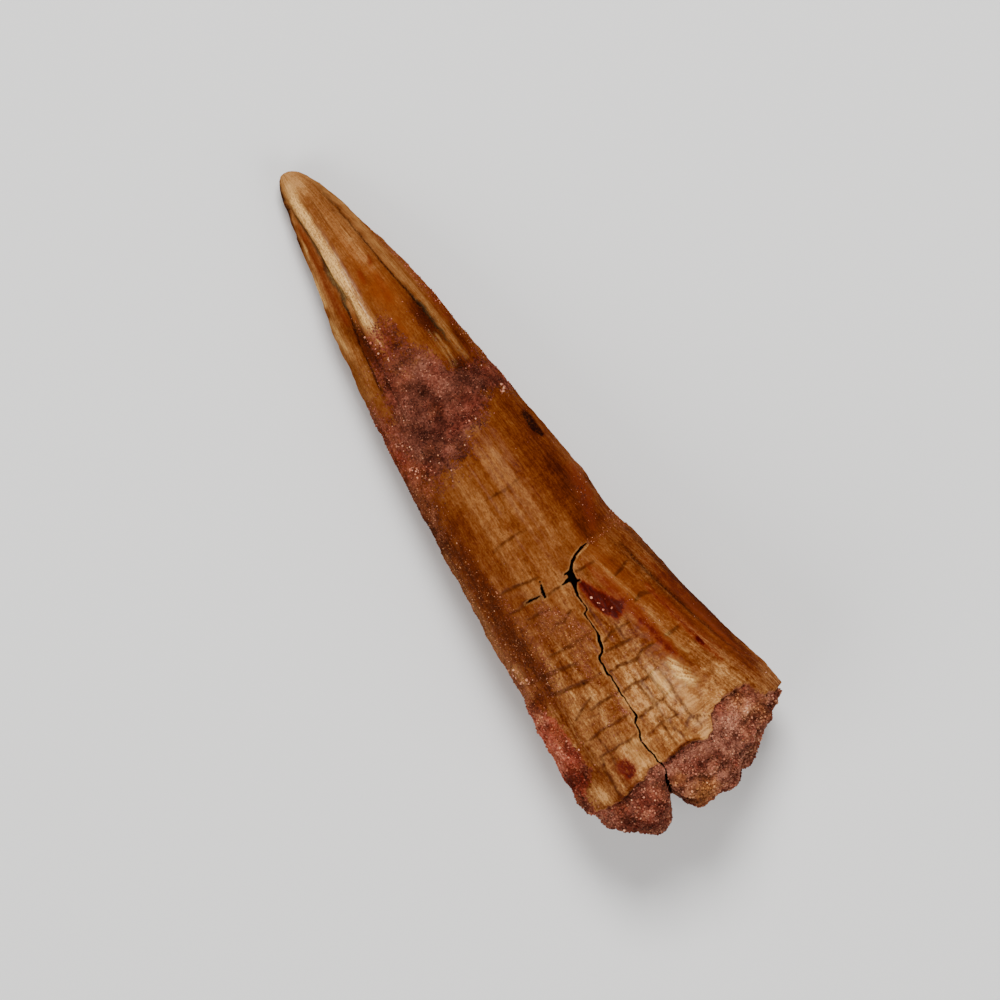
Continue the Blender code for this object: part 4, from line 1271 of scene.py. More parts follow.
        shares = {
            # The deep measure takes in the painted shade of the shadow strokes.
            Paint.DEEP: self.deepened(point, turn, masks) + top * marks.drawn(marks.shadow, shifted, aside),
            Paint.AMBER: tones.painted(tones.amber, 0.0, along, fanned) * top,
            Paint.STAIN: marks.drawn(marks.stain, shifted, aside) * top,
            Paint.BLOOD: marks.drawn(marks.blood, shifted, aside) * top,
            Paint.PALE: pale * top,
            Paint.ROSY: rosy,
            Paint.OCHRE: ochre,
            Paint.SAND: masks["saddle"] + masks["crust"] + masks["root"],
            Paint.DUST: self.dusted(point, masks),
            Paint.GLOSS: gloss * top,
        }
        painted = {measure: np.clip(values, 0, 1) for measure, values in shares.items()}
        painted[Paint.CRACK] = np.where(top > self.seen_from, crack, self.far_gap)
        painted[Paint.FINE] = np.where(top > self.seen_from, fine, self.far_gap)
        return painted

    def work_out(self) -> Surface:
        """The finished surface: every point's place, its painted measures and the ground under it."""
        start, turn, tilt = self.grid()
        point, out = self.form.place(start, turn, tilt)
        masks = self.ground.masks(self.form, point, turn, tilt)
        girth = self.girth(point[..., 0], turn, self.relief.ridge_squeeze)
        proud = self.relief.height(point, turn, tilt, masks, girth)
        proud -= masks["top"] * self.cracked(point)
        finished = point + proud[..., None] * out
        finished[..., 2] = np.maximum(finished[..., 2], 0)
        streaks = self.girth(point[..., 0], turn, 1.0)[..., (2, 0, 1)]
        return Surface(finished, self.paint(point, turn, masks), masks, streaks, point)


@dataclass
class Surface:
    """A worked-out surface on its grid, which can be made into a mesh or sprinkled with grains."""

    points: Array
    paints: dict[Paint, Array]
    masks: Masks
    streaks: Array
    plain: Array

    def in_frame(self, points: Array) -> Array:
        """Points in the shared frame, in metres: X runs back from the tip, and Y is centred on the box.

        Args:
            points: (distance, across, height) in millimetres.

        Returns:
            (x, y, z) in metres.
        """
        low, high = (np.array(corner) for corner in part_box("tooth"))
        across = self.points[..., 1]
        aside = (low[1] + high[1]) / 2 - (across.min() + across.max()) / 2 * MM
        return points * np.array((-MM, MM, MM)) + np.array((high[0], aside, 0.0))

    def mesh(self, name: str) -> bpy.types.Mesh:
        """A closed mesh of the surface: four-sided faces between rings, and a fan at each end.

        Args:
            name: the mesh's name.

        Returns:
            The mesh, with the painted measures and the streak coordinates on its points.
        """
        rings, columns = self.points.shape[:2]
        ends = np.stack((self.points[0].mean(axis=0), self.points[-1].mean(axis=0)))
        ends[0, 0] = 0.0
        placed = self.in_frame(np.concatenate((self.points.reshape(-1, 3), ends)))
        index = np.arange(rings * columns).reshape(rings, columns)
        after = np.roll(index, -1, axis=1)
        quads = np.stack((index[:-1], after[:-1], after[1:], index[1:]), axis=-1).reshape(-1, 4)
        tip = np.full(columns, rings * columns)
        tip_fan = np.stack((tip, after[0], index[0]), axis=-1)
        root_fan = np.stack((index[-1], after[-1], tip + 1), axis=-1)
        mesh = bpy.data.meshes.new(name)
        mesh.from_pydata(placed.tolist(), [], quads.tolist() + tip_fan.tolist() + root_fan.tolist())
        for measure, values in self.paints.items():
            flat = np.concatenate((values.ravel(), (values[0].mean(), values[-1].mean())))
            mesh.attributes.new(measure.value, "FLOAT", "POINT").data.foreach_set("value", flat)
        flat = self.streaks.reshape(-1, 3)
        flat = np.concatenate((flat, self.streaks[0].mean(axis=0)[None], self.streaks[-1].mean(axis=0)[None]))
        mesh.attributes.new("streaks", "FLOAT_VECTOR", "POINT").data.foreach_set("vector", flat.ravel())
        mesh.shade_smooth()
        return mesh


class Grains(Enum):
    """The stretches of sand whose grains are modelled one by one."""

    SADDLE = "sand_saddle"
    CRUST = "sand_crust"
    ROOT_TOP = "sand_root_upper"
    ROOT_LOW = "sand_root_lower"
    DUST = "sand_dust"
    QUARTZ = "sand_quartz"


@dataclass(frozen=True)
class GrainBed:
    """One stretch of cemented sand: how many grains, how large, how many are pale, and how they sit."""

    kind: Grains
    count: int
    smallest: float
    largest: float
    pale_share: float
    seed: int
    rise: float = 0.16
    tone_lift: float = 0.0

    lowest_place: float = 0.3
    small_bias: float = 2.2
    stretches: Span = (0.65, 1.0)
    dents: Span = (0.78, 1.12)
    crack_edge: Span = (0.0, 0.12)
    saddle_bias: float = 1.5
    middle_tone: float = 0.42
    tone_spread: float = 0.1
    bright_spread: float = 0.12
    ground_tone: float = 0.6
    most_tone: float = 0.86
    pale_tones: Span = (0.82, 1.0)
    rosy_spread: float = 0.16
    ochre_spread: float = 0.12

    def density(self, surface: Surface) -> Array:
        """How thickly grains lie at each point of the surface.

        Args:
            surface: the surface they lie on.

        Returns:
            The density, from 0 to 1.
        """
        masks, paints = surface.masks, surface.paints
        upper = masks["top"]
        if self.kind is Grains.QUARTZ:
            marks = Marks()
            return marks.drawn(marks.quartz, surface.plain[..., 0], surface.plain[..., 1]) * upper
        held = soft_step(paints[Paint.CRACK], *self.crack_edge)
        bare = 1 - paints[Paint.SAND]
        return {
            Grains.SADDLE: masks["saddle"] ** self.saddle_bias * held,
            Grains.CRUST: masks["crust"] * held,
            Grains.ROOT_TOP: masks["root"] * upper * held,
            Grains.ROOT_LOW: masks["root"] * (1 - upper) * held,
            Grains.DUST: paints[Paint.DUST] ** 2 * bare * held * (1 - paints[Paint.BLOOD]),
        }[self.kind]

    def make(self, surface: Surface) -> bpy.types.Object:
        """Scatters the grains over the surface by area and density, as one joined mesh.

        Each grain is a twenty-sided lump, stretched, turned and dented at random, and set into the surface
        along its outward direction.

        Args:
            surface: the surface they lie on.

        Returns:
            The new object, in the scene.
        """
        rng = np.random.default_rng(self.seed)
        points = surface.points
        after = np.roll(points, -1, axis=1)
        corners = np.stack((points[:-1], after[:-1], after[1:], points[1:]), axis=-2).reshape(-1, 4, 3)
        normal = -np.cross(corners[:, 2] - corners[:, 0], corners[:, 3] - corners[:, 1])
        area = np.linalg.norm(normal, axis=-1)
        weight = area * self.density(surface)[:-1].ravel()
        weight[corners[:, :, 2].min(axis=1) < self.lowest_place] = 0
        chosen = rng.choice(len(weight), self.count, p=weight / weight.sum())
        u, v = rng.random((2, self.count, 1))
        face = corners[chosen]
        base = (1 - u) * ((1 - v) * face[:, 0] + v * face[:, 1])
        base = base + u * ((1 - v) * face[:, 3] + v * face[:, 2])
        out = normal[chosen] / area[chosen, None]

        ball = bmesh.new()
        bmesh.ops.create_icosphere(ball, subdivisions=1, radius=1.0)
        lump = np.array([vertex.co[:] for vertex in ball.verts])
        faces = np.array([[vertex.index for vertex in face.verts] for face in ball.faces])
        ball.free()

        size = self.smallest + (self.largest - self.smallest) * rng.random(self.count) ** self.small_bias
        stretch = rng.uniform(*self.stretches, (self.count, 1, 3)) * size[:, None, None] / 2
        dents = rng.uniform(*self.dents, (self.count, len(lump), 1))
        spin, _ = np.linalg.qr(rng.normal(size=(self.count, 3, 3)))
        spin *= np.sign(np.linalg.det(spin))[:, None, None]
        shapes = (lump * dents * stretch) @ spin
        centre = base + out * (size * self.rise)[:, None]
        placed = surface.in_frame((centre[:, None] + shapes).reshape(-1, 3))
        placed[:, 2] = np.maximum(placed[:, 2], 0)
        joined = (faces[None, :, ::-1] + np.arange(self.count)[:, None, None] * len(lump)).reshape(-1, 3)

        mesh = bpy.data.meshes.new(self.kind.value)
        mesh.from_pydata(placed.tolist(), [], joined.tolist())
        under = {measure: values[:-1].ravel()[chosen] for measure, values in surface.paints.items()}
        for name, values in self.tones(under, rng).items():
            flat = np.repeat(np.clip(values, 0, 1), len(lump))
            mesh.attributes.new(name, "FLOAT", "POINT").data.foreach_set("value", flat)
        return put_in_scene(mesh)

    def tones(self, under: dict[Paint, Array], rng: np.random.Generator) -> dict[str, Array]:
        """How pale each grain is, and what share its two hues have.

        Args:
            under: the painted measures of the surface under each grain.
            rng: the bed's own random numbers, in the order that they are drawn.

        Returns:
            One array for each of the names tone, rosy and ochre.
        """
        tone = rng.normal(self.middle_tone, self.tone_spread, self.count)
        tone = tone + rng.exponential(self.bright_spread, self.count)
        # Grains are darker where the ground's deep measure is high, its painted shade included.
        tone -= self.ground_tone * (under[Paint.DEEP] - 0.5)
        tone += self.tone_lift
        pale = rng.random(self.count) < self.pale_share
        pale_tone = rng.uniform(*self.pale_tones, self.count)
        return {
            "tone": np.where(pale, pale_tone, np.clip(tone, 0, self.most_tone)),
            "rosy": under[Paint.ROSY] + rng.normal(0, self.rosy_spread, self.count),
            "ochre": under[Paint.OCHRE] + rng.normal(0, self.ochre_spread, self.count),
        }


def put_in_scene(mesh: bpy.types.Mesh) -> bpy.types.Object:
    """Links a new object of this mesh, with the mesh's own name, at the origin.

    Args:
        mesh: the finished mesh.

    Returns:
        The object.
    """
    piece = bpy.data.objects.new(mesh.name, mesh)
    bpy.context.scene.collection.objects.link(piece)
    return piece


@dataclass
class Wiring:
    """A short hand for one node tree: adds nodes, sets their plain values and links their sockets."""

    tree: bpy.types.NodeTree

    def node(
        self, kind: str, inputs: dict[str | int, object] | None = None, **settings: object
    ) -> bpy.types.Node:
        """Adds a node.

        Args:
            kind: the node's type, without the ShaderNode that most of them start with.
            inputs: a plain value or a socket to link, for each input by name or place.
            settings: the node's own settings.

        Returns:
            The node.
        """
        node = self.tree.nodes.new(kind if kind.startswith("NodeGroup") else "ShaderNode" + kind)
        for name, value in settings.items():
            setattr(node, name, value)
        for key, value in (inputs or {}).items():
            if isinstance(value, Socket):
                self.tree.links.new(value, node.inputs[key])
            else:
                node.inputs[key].default_value = value
        return node

    def measure(self, name: str) -> Socket:
        """The painted measure of this name at each point."""
        return self.node("Attribute", attribute_name=name).outputs["Fac"]

    def sum(self, operation: str, first: object, second: object, clamp: bool) -> Socket:
        """One step of arithmetic on two values or sockets, kept from 0 to 1 if clamp is set."""
        return self.node("Math", {0: first, 1: second}, operation=operation, use_clamp=clamp).outputs[0]

    def plus(self, first: object, second: object, clamp: bool = False) -> Socket:
        """The first and the second together."""
        return self.sum("ADD", first, second, clamp)

    def less(self, first: object, second: object, clamp: bool = False) -> Socket:
        """The first less the second."""
        return self.sum("SUBTRACT", first, second, clamp)

    def times(self, first: object, second: object, clamp: bool = False) -> Socket:
        """The first multiplied by the second."""
        return self.sum("MULTIPLY", first, second, clamp)

    def larger(self, first: object, second: object) -> Socket:
        """The larger of the two."""
        return self.sum("MAXIMUM", first, second, False)

    def mix(self, share: object, under: object, over: object) -> Socket:
        """The colour under another one, which covers this share of it."""
        return self.node("Mix", {0: share, 6: under, 7: over}, data_type="RGBA").outputs[2]

    def noise(self, vector: object, scale: float, detail: float = 3.0, roughness: float = 0.5) -> Socket:
        """A noise texture's value, with its cells to each unit, its finer layers and their strength."""
        inputs = {"Vector": vector, "Scale": scale, "Detail": detail, "Roughness": roughness}
        return self.node("TexNoise", inputs).outputs["Fac"]

    def rise(self, value: object, low: float, high: float, bottom: float = 0.0, top: float = 1.0) -> Socket:
        """A smooth rise from bottom to top, while the value goes from low to high."""
        inputs = {"Value": value, "From Min": low, "From Max": high, "To Min": bottom, "To Max": top}
        return self.node("MapRange", inputs, interpolation_type="SMOOTHSTEP").outputs[0]

    def ramp(self, share: object, stops: Ramp) -> Socket:
        """A colour ramp.

        Args:
            share: where on the ramp each point is.
            stops: (place, 8-bit screen colour) pairs.

        Returns:
            The colour's socket.
        """
        node = self.node("ValToRGB", {0: share})
        elements = node.color_ramp.elements
        while len(elements) < len(stops):
            elements.new(1.0)
        for element, (place, colour) in zip(elements, stops):
            element.position = place
            element.color = shade(*colour)
        return node.outputs[0]

    def broken(self, share: object, texture: object, reach: float) -> Socket:
        """A share made uneven by a noise that turns it up and down by up to this part of itself."""
        noise_low, noise_high = 0.3, 0.7
        return self.times(share, self.rise(texture, noise_low, noise_high, 1 - reach, 1 + reach), True)


@dataclass(frozen=True)
class Weave:
    """A noise stretched by a mapping: what each coordinate is multiplied by, its scale, and its layers."""

    stretch: Triple
    scale: float
    detail: float = 3.0
    roughness: float = 0.55

    def wire(self, net: Wiring, along: object) -> Socket:
        """The noise's value, read at these coordinates."""
        stretched = net.node("Mapping", {"Vector": along, "Scale": self.stretch}).outputs[0]
        return net.noise(stretched, self.scale, self.detail, self.roughness)


def start_material(name: str, sheen: float) -> tuple[bpy.types.Material, Wiring, bpy.types.Node, Socket]:
    """A new material with a principled shader.

    Args:
        name: the material's name.
        sheen: how strongly its bare surface mirrors light.

    Returns:
        The material, a short hand for its tree, its shader and the coordinates in the frame.
    """
    material = bpy.data.materials.new(name)
    material.use_nodes = True
    net = Wiring(material.node_tree)
    shader = material.node_tree.nodes["Principled BSDF"]
    shader.inputs["Specular IOR Level"].default_value = sheen
    return material, net, shader, net.node("TexCoord").outputs["Object"]


def add_bump(
    net: Wiring, shader: bpy.types.Node, height: object, strength: float, distance: float
) -> None:
    """Lets a height tilt the shader's surface, by this strength and up to this distance in metres."""
    bump = net.node("Bump", {"Height": height, "Strength": strength, "Distance": distance})
    net.tree.links.new(bump.outputs[0], shader.inputs["Normal"])


@dataclass(frozen=True)
class SandSpeckle:
    """Colour of cemented quartz sand in three hues, plum, rosy and ochre, each from dark to pale."""

    group_name: str = "sand speckle"
    places: tuple[float, ...] = (0.0, 0.25, 0.5, 0.75, 0.9, 1.0)
    plum: tuple[Hue, ...] = (
        (32, 12, 9), (70, 33, 24), (107, 58, 44), (150, 96, 76), (188, 127, 100), (226, 168, 134),
    )
    rosy: tuple[Hue, ...] = (
        (44, 8, 4), (88, 21, 11), (130, 40, 25), (168, 73, 52), (206, 107, 80), (234, 154, 120),
    )
    ochre: tuple[Hue, ...] = (
        (60, 28, 12), (96, 50, 24), (134, 76, 42), (174, 112, 60), (206, 140, 82), (230, 174, 120),
    )

    def group(self) -> bpy.types.NodeTree:
        """The shared node group, built once.

        Returns:
            A group with the inputs Share, Rosy and Ochre, and the output Color.
        """
        if self.group_name in bpy.data.node_groups:
            return bpy.data.node_groups[self.group_name]
        tree = bpy.data.node_groups.new(self.group_name, "ShaderNodeTree")
        for name in ("Share", "Rosy", "Ochre"):
            tree.interface.new_socket(name, in_out="INPUT", socket_type="NodeSocketFloat")
        tree.interface.new_socket("Color", in_out="OUTPUT", socket_type="NodeSocketColor")
        net = Wiring(tree)
        given = net.node("NodeGroupInput").outputs
        plum, rosy, ochre = (
            net.ramp(given["Share"], tuple(zip(self.places, hues)))
            for hues in (self.plum, self.rosy, self.ochre)
        )
        colour = net.mix(given["Ochre"], net.mix(given["Rosy"], plum, rosy), ochre)
        tree.links.new(colour, net.node("NodeGroupOutput").inputs["Color"])
        return tree

    def place(self, net: Wiring, share: object) -> Socket:
        """The colour for this share of pale, in a material whose mesh carries the measures rosy and ochre."""
        inputs = {"Share": share, "Rosy": net.measure("rosy"), "Ochre": net.measure("ochre")}
        return net.node("Group", inputs, node_tree=self.group()).outputs["Color"]


@dataclass(frozen=True)
class EnamelFinish:
    """Fossil enamel from straw to umber: long streaks, stained cracks with painted shade, painted highlights,
    sand in places.

    Each Rise is the range that a value goes through and what comes out at the range's two ends. Blots
    and specks have the scale, the detail and the roughness of a noise in the frame.
    """

    name: str = "fossil enamel"
    tones: Ramp = (
        (0.0, (194, 140, 84)), (0.22, (154, 101, 54)), (0.45, (124, 72, 34)), (0.65, (104, 48, 12)),
        (0.82, (84, 29, 3)), (1.0, (56, 14, 1)),
    )
    amber: Hue = (120, 50, 5)
    stain: Ramp = ((0.35, (60, 17, 4)), (0.9, (26, 9, 7)))
    fine: Hue = (66, 24, 4)
    blood: Ramp = ((0.35, (112, 34, 10)), (0.65, (90, 16, 4)), (0.95, (58, 6, 5)))
    # Colour of the pale measure, which is mostly painted highlights: tan to light yellow.
    pale: Ramp = ((0.35, (206, 142, 82)), (0.65, (255, 206, 124)))
    film: Hue = (112, 58, 32)
    # Colour of the open cracks: dark red stain at their thin edges, and painted shade near black in their
    # depth.
    crack_stain_and_shade: Ramp = ((0.4, (46, 10, 7)), (0.95, (4, 3, 4)))
    speckle: SandSpeckle = SandSpeckle()
    sheen: float = 0.0
    coat_roughness: float = 0.22

    broad: Weave = Weave((0.05, 1.0, 1.0), 1.0)
    narrow: Weave = Weave((0.12, 1.0, 1.0), 2.6)
    ripples: Weave = Weave((0.4, 1.0, 1.0), 4.2, roughness=0.6)
    bands: Weave = Weave((1.0, 0.12, 0.12), 2.2)
    threads: Weave = Weave((0.08, 1.0, 1.0), 10.0, 2.0, 0.6)
    blots: Triple = (700.0, 4.0, 0.6)
    specks: Triple = (5200.0, 4.0, 0.65)
    tone_reaches: tuple[float, ...] = (0.1, 0.06, 0.1, 0.04, 0.08, 0.1)
    tone_noise: Span = (0.25, 0.75)
    stronger_at_root: Rise = (44.0, 54.0, 1.0, 1.7)
    amber_blots: Rise = (0.3, 0.6, 0.7, 1.0)

    jitter_scale: float = 6000.0
    jitter: Rise = (0.2, 0.8, -0.03, 0.03)
    patchy_scale: float = 1900.0
    patchy: Rise = (0.35, 0.65, 0.6, 1.0)
    fine_edge: Rise = (-0.02, 0.22, 1.0, 0.0)
    fine_share: float = 0.92
    web_on_dark: Rise = (0.2, 0.7, 0.75, 0.3)
    webs: tuple[Weave, ...] = (
        Weave((1.0, 0.25, 0.25), 2.6, 2.0, 0.5), Weave((0.2, 1.0, 1.0), 1.9, 2.0, 0.5),
    )
    web_widths: tuple[float, ...] = (0.012, 0.014)
    stain_break: float = 0.35
    blood_share: float = 1.5
    pale_and_highlight_break: float = 1.0
    pale_share: float = 0.95

    grain_size: float = 0.17
    grain_tones: Rise = (0.1, 0.9, 0.34, 0.6)
    ground_tone: float = -0.6
    sand_blots: Rise = (0.3, 0.7, -0.12, 0.12)
    film_share: float = 0.18
    dust_levels: Rise = (0.0, 1.0, 0.76, 0.5)
    dust_edge: Span = (0.0, 0.06)
    dust_cover: float = 0.8
    ragged: Rise = (0.3, 0.7, -0.4, 0.4)
    sand_edge: Span = (0.25, 0.75)
    open_edge: Rise = (0.0, 0.06, 1.0, 0.0)

    dullness: Rise = (0.2, 0.8, 0.26, 0.42)
    gloss_smooth: float = 0.08
    cover_dull: float = 0.5
    coat_break: float = 0.8
    ripple_height: float = 0.8
    line_depth: float = 0.5
    grit_height: float = 1.2
    speck_height: float = 0.35
    bump_strength: float = 0.6
    bump_distance: float = 0.00008

    def build(self) -> bpy.types.Material:
        """The material, whose masks are the painted measures on the mesh.

        Returns:
            The material.
        """
        material, net, shader, place = start_material(self.name, self.sheen)
        along = net.node("Attribute", attribute_name="streaks").outputs["Vector"]
        broad, narrow, ripples, bands, threads = (
            weave.wire(net, along)
            for weave in (self.broad, self.narrow, self.ripples, self.bands, self.threads)
        )
        blots, specks = (net.noise(place, *settings) for settings in (self.blots, self.specks))

        texture = 0.0
        for noise, reach in zip((broad, narrow, ripples, bands, blots, specks), self.tone_reaches):
            texture = net.plus(texture, net.rise(noise, *self.tone_noise, -reach, reach))
        distance = net.node("SeparateXYZ", {0: along}).outputs[0]
        texture = net.times(texture, net.rise(distance, *self.stronger_at_root))
        colour = net.ramp(net.plus(net.measure("deep"), texture), self.tones)
        amber = net.times(net.measure("amber"), net.rise(blots, *self.amber_blots))
        colour = net.mix(amber, colour, shade(*self.amber))

        jitter = net.rise(net.noise(place, self.jitter_scale, 2.0), *self.jitter)
        fine = self.fine_lines(net, along, place, jitter)
        colour = net.mix(net.times(fine, self.fine_share), colour, shade(*self.fine))
        streaky, frosty = (
            net.plus(net.times(noise, 0.5), net.times(specks, 0.5)) for noise in (ripples, threads)
        )
        stain = net.broken(net.measure("stain"), specks, self.stain_break)
        colour = net.mix(stain, colour, net.ramp(stain, self.stain))
        blood = net.broken(net.measure("blood"), streaky, self.stain_break)
        reddened = net.times(blood, self.blood_share, True)
        colour = net.mix(reddened, colour, net.ramp(blood, self.blood))
        # Pale enamel and painted highlights, broken up by a frosty noise and mixed into the base colour.
        pale = net.broken(net.measure("pale"), frosty, self.pale_and_highlight_break)
        colour = net.mix(net.times(pale, self.pale_share), colour, net.ramp(frosty, self.pale))

        cells = net.node("TexVoronoi", {"Vector": place, "Scale": 1 / (self.grain_size * MM)})
        share = net.rise(cells.outputs["Color"], *self.grain_tones)
        # The sand's tone follows the ground's deep measure, its painted shade included.
        lean = net.times(net.less(net.measure("deep"), 0.5), self.ground_tone)
        share = net.plus(net.plus(share, lean), net.rise(blots, *self.sand_blots), True)
        dust = net.measure("dust")
        colour = net.mix(net.times(dust, self.film_share), colour, shade(*self.film))
        dusted = net.rise(net.less(specks, net.rise(dust, *self.dust_levels)), *self.dust_edge)
        ragged = net.plus(net.measure("sand"), net.rise(specks, *self.ragged))
        cover = net.larger(net.rise(ragged, *self.sand_edge), net.times(dusted, self.dust_cover))
        colour = net.mix(cover, colour, self.speckle.place(net, share))
        # Open cracks: painted stain and shade over their gaps.
        opened = net.rise(net.plus(net.measure("crack"), jitter), *self.open_edge)
        colour = net.mix(opened, colour, net.ramp(opened, self.crack_stain_and_shade))
        net.tree.links.new(colour, shader.inputs["Base Color"])

        gloss = net.measure("gloss")
        dull = net.less(net.rise(narrow, *self.dullness), net.times(gloss, self.gloss_smooth))
        hidden = net.larger(net.larger(cover, opened), stain)
        dull = net.plus(dull, net.times(hidden, self.cover_dull), True)
        net.tree.links.new(dull, shader.inputs["Roughness"])
        shader.inputs["Coat Roughness"].default_value = self.coat_roughness
        coat = net.broken(net.times(gloss, net.less(1.0, hidden, True)), frosty, self.coat_break)
        net.tree.links.new(coat, shader.inputs["Coat Weight"])

        height = net.plus(narrow, net.times(ripples, self.ripple_height))
        height = net.times(height, net.less(1.0, cover, True))
        height = net.less(height, net.times(net.larger(stain, fine), self.line_depth))
        grit = net.times(net.less(1.0, cells.outputs["Distance"]), cover)
        height = net.plus(height, net.times(grit, self.grit_height))
        height = net.plus(height, net.times(specks, self.speck_height))
        add_bump(net, shader, height, self.bump_strength, self.bump_distance)
        return material

    def fine_lines(self, net: Wiring, along: object, place: object, jitter: object) -> Socket:
        """The share of fine lines: the drawn ones, and webs where a noise is close to its middle value.

        Args:
            net: the material's node tree.
            along: the coordinates that follow the streaks.
            place: the coordinates in the frame.
            jitter: a small noise that makes the lines' edges uneven.

        Returns:
            The share's socket.
        """
        patchy = net.rise(net.noise(place, self.patchy_scale), *self.patchy)
        fine = net.rise(net.plus(net.measure("fine"), jitter), *self.fine_edge)
        fine = net.times(fine, patchy)
        on_dark = net.rise(net.measure("deep"), *self.web_on_dark)
        for weave, width in zip(self.webs, self.web_widths):
            off_middle = net.less(weave.wire(net, along), 0.5)
            web = net.rise(net.sum("ABSOLUTE", off_middle, 0.0, False), 0.0, width, 1.0, 0.0)
            fine = net.larger(fine, net.times(net.times(web, patchy), on_dark))
        return fine


@dataclass(frozen=True)
class GrainFinish:
    """Single quartz grains, each with its own tone, dull with a slight sparkle on the pale ones."""

    name: str = "sand grains"
    sheen: float = 0.05
    speckle: SandSpeckle = SandSpeckle()
    mottle_scale: float = 5000.0
    mottle: Rise = (0.3, 0.7, -0.07, 0.07)
    dullness: Rise = (0.7, 1.0, 0.8, 0.35)
    bump_scale: float = 9000.0
    bump_strength: float = 0.4
    bump_distance: float = 0.00003

    def build(self) -> bpy.types.Material:
        """The material, which reads each grain's tone and its hue.

        Returns:
            The material.
        """
        material, net, shader, place = start_material(self.name, self.sheen)
        tone = net.measure("tone")
        mottle = net.rise(net.noise(place, self.mottle_scale, 2.0), *self.mottle)
        colour = self.speckle.place(net, net.plus(tone, mottle, True))
        net.tree.links.new(colour, shader.inputs["Base Color"])
        net.tree.links.new(net.rise(tone, *self.dullness), shader.inputs["Roughness"])
        height = net.noise(place, self.bump_scale)
        add_bump(net, shader, height, self.bump_strength, self.bump_distance)
        return material


@dataclass(frozen=True)
class Lamp:
    """A square soft light that faces the tooth: the way to it, how far off it is, its side and its power."""

    name: str
    direction: Triple
    metres_off: float
    side: float
    watts: float

    def put_up(self) -> None:
        """Adds the light to the scene."""
        light = bpy.data.lights.new(self.name, "AREA")
        light.size = self.side
        light.energy = self.watts
        holder = bpy.data.objects.new(self.name, light)
        way = np.array(self.direction) / np.linalg.norm(self.direction)
        holder.location = (way * self.metres_off).tolist()
        holder.rotation_euler = holder.location.to_track_quat("Z", "Y").to_euler()
        bpy.context.scene.collection.objects.link(holder)


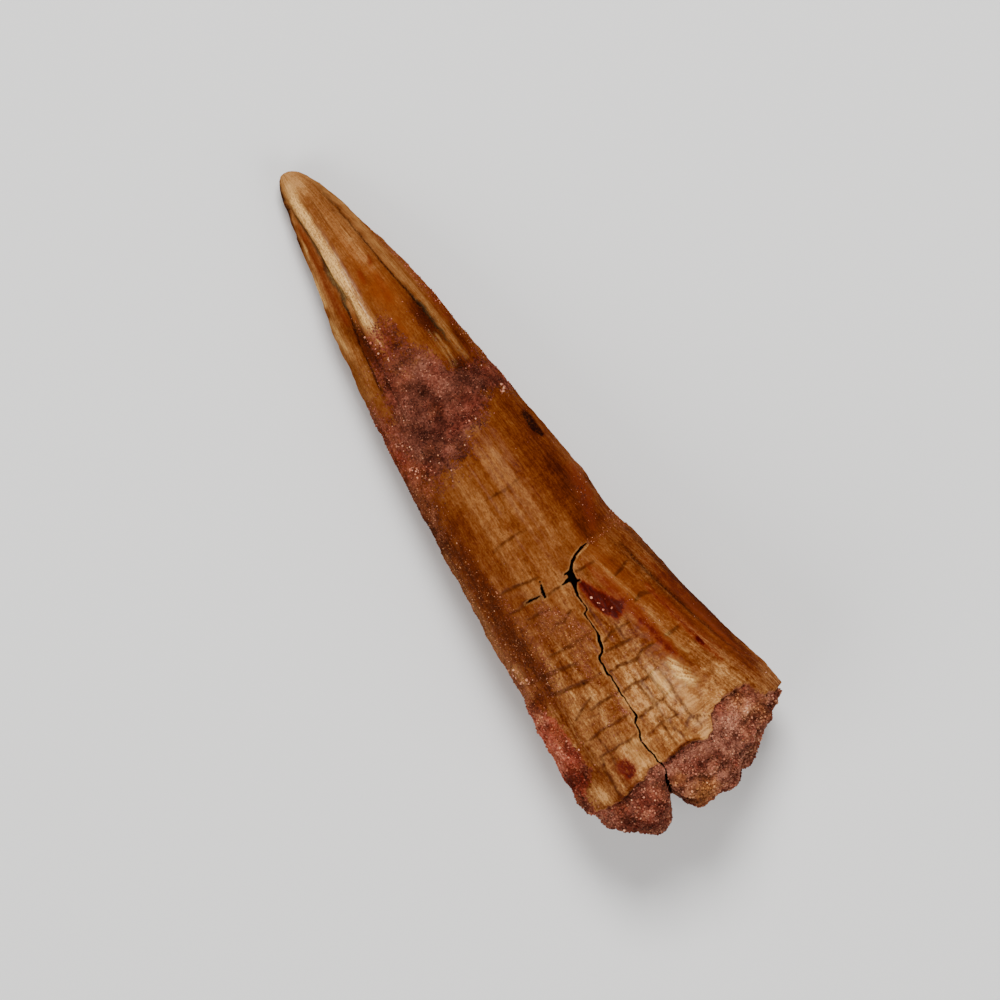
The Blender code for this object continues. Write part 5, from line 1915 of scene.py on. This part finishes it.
@dataclass
class Studio:
    """A plain pale floor, soft lights, and a camera that looks straight down on the tooth."""

    tip_pixel: tuple[float, float] = (286.8, 170.4)
    along_pixels: tuple[float, float] = (0.56592, 0.82446)
    picture_pixels: float = 1000.0
    picture_width: float = 94.0
    lens: float = 1000.0
    sensor: float = 36.0
    clip_start: float = 0.01
    focus_height: float = 7.0

    floor_side: float = 1.5
    floor_drop: float = -0.00002
    floor_colour: Hue = (243, 242, 240)
    floor_roughness: float = 0.9
    sky_colour: tuple[float, ...] = (0.97, 0.98, 1.0, 1.0)
    sky_strength: float = 0.13
    lamps: tuple[Lamp, ...] = (
        Lamp("key", direction=(0.42, -0.3, 0.86), metres_off=0.6, side=0.22, watts=4.0),
        Lamp("left fill", direction=(-0.1, 0.85, 0.6), metres_off=0.7, side=0.5, watts=2.8),
        Lamp("back fill", direction=(-0.85, -0.2, 0.6), metres_off=0.7, side=0.5, watts=2.5),
    )

    def floor(self) -> bpy.types.Object:
        """A large pale sheet just under the tooth.

        Returns:
            The floor's object.
        """
        side, drop = self.floor_side, self.floor_drop
        corners = [(-side, -side, drop), (side, -side, drop), (side, side, drop), (-side, side, drop)]
        mesh = bpy.data.meshes.new("floor")
        mesh.from_pydata(corners, [], [(0, 1, 2, 3)])
        material = bpy.data.materials.new("pale floor")
        material.use_nodes = True
        shader = material.node_tree.nodes["Principled BSDF"]
        shader.inputs["Base Color"].default_value = shade(*self.floor_colour)
        shader.inputs["Roughness"].default_value = self.floor_roughness
        mesh.materials.append(material)
        return put_in_scene(mesh)

    def camera(self, tip_x: float) -> None:
        """The camera over the tooth, turned so that the tip points to the picture's upper left.

        Args:
            tip_x: where the tooth's tip is along X, in metres.
        """
        scale = self.picture_width / self.picture_pixels
        right = np.array((-self.along_pixels[0], -self.along_pixels[1], 0))
        up = np.array((self.along_pixels[1], -self.along_pixels[0], 0))
        middle = (self.picture_pixels / 2 - np.array(self.tip_pixel)) * scale * MM
        aim = np.array((tip_x, 0, self.focus_height * MM)) + middle[0] * right - middle[1] * up
        reach = self.lens / self.sensor * self.picture_width * MM
        camera = bpy.data.cameras.new("camera")
        camera.lens = self.lens
        camera.sensor_width = self.sensor
        camera.clip_start = self.clip_start
        holder = bpy.data.objects.new("camera", camera)
        turn = np.eye(4)
        turn[:3, 0], turn[:3, 1], turn[:3, 2] = right, up, (0, 0, 1)
        turn[:3, 3] = aim + np.array((0, 0, reach))
        holder.matrix_world = turn.T
        bpy.context.scene.collection.objects.link(holder)
        bpy.context.scene.camera = holder

    def world(self) -> None:
        """Plain pale light from all round, weak enough to leave dark enamel dark."""
        world = bpy.data.worlds.new("studio")
        world.use_nodes = True
        sky = world.node_tree.nodes["Background"]
        sky.inputs["Color"].default_value = self.sky_colour
        sky.inputs["Strength"].default_value = self.sky_strength
        bpy.context.scene.world = world


def main() -> None:
    """Builds the tooth's skin, its sand, and the studio round them."""
    logging.basicConfig(level=logging.INFO, format="%(name)s: %(message)s")
    surface = ToothSkin().work_out()
    skin = put_in_scene(surface.mesh("tooth_skin"))
    skin.data.materials.append(EnamelFinish().build())
    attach(skin, "root")
    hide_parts("tooth")
    LOG.info("%s: %d faces", skin.name, len(skin.data.polygons))

    finish = GrainFinish().build()
    beds = (
        GrainBed(Grains.SADDLE, count=5200, smallest=0.08, largest=0.22, pale_share=0.01, seed=71, rise=0.1),
        GrainBed(Grains.CRUST, count=3200, smallest=0.1, largest=0.3, pale_share=0.02, seed=72),
        GrainBed(Grains.ROOT_TOP, count=9600, smallest=0.1, largest=0.36, pale_share=0.015, seed=73),
        GrainBed(Grains.ROOT_LOW, count=8600, smallest=0.12, largest=0.38, pale_share=0.02, seed=74),
        GrainBed(
            Grains.DUST, count=8200, smallest=0.06, largest=0.17, pale_share=0.08, seed=75, tone_lift=0.08
        ),
        GrainBed(Grains.QUARTZ, count=150, smallest=0.16, largest=0.4, pale_share=0.9, seed=76, rise=0.2),
    )
    for bed in beds:
        grains = bed.make(surface)
        grains.data.materials.append(finish)
        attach(grains, "root")
        LOG.info("%s: %d faces", grains.name, len(grains.data.polygons))

    studio = Studio()
    studio.floor()
    studio.world()
    for lamp in studio.lamps:
        lamp.put_up()
    studio.camera(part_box("tooth")[1][0])

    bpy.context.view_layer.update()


if __name__ == "__main__":
    main()
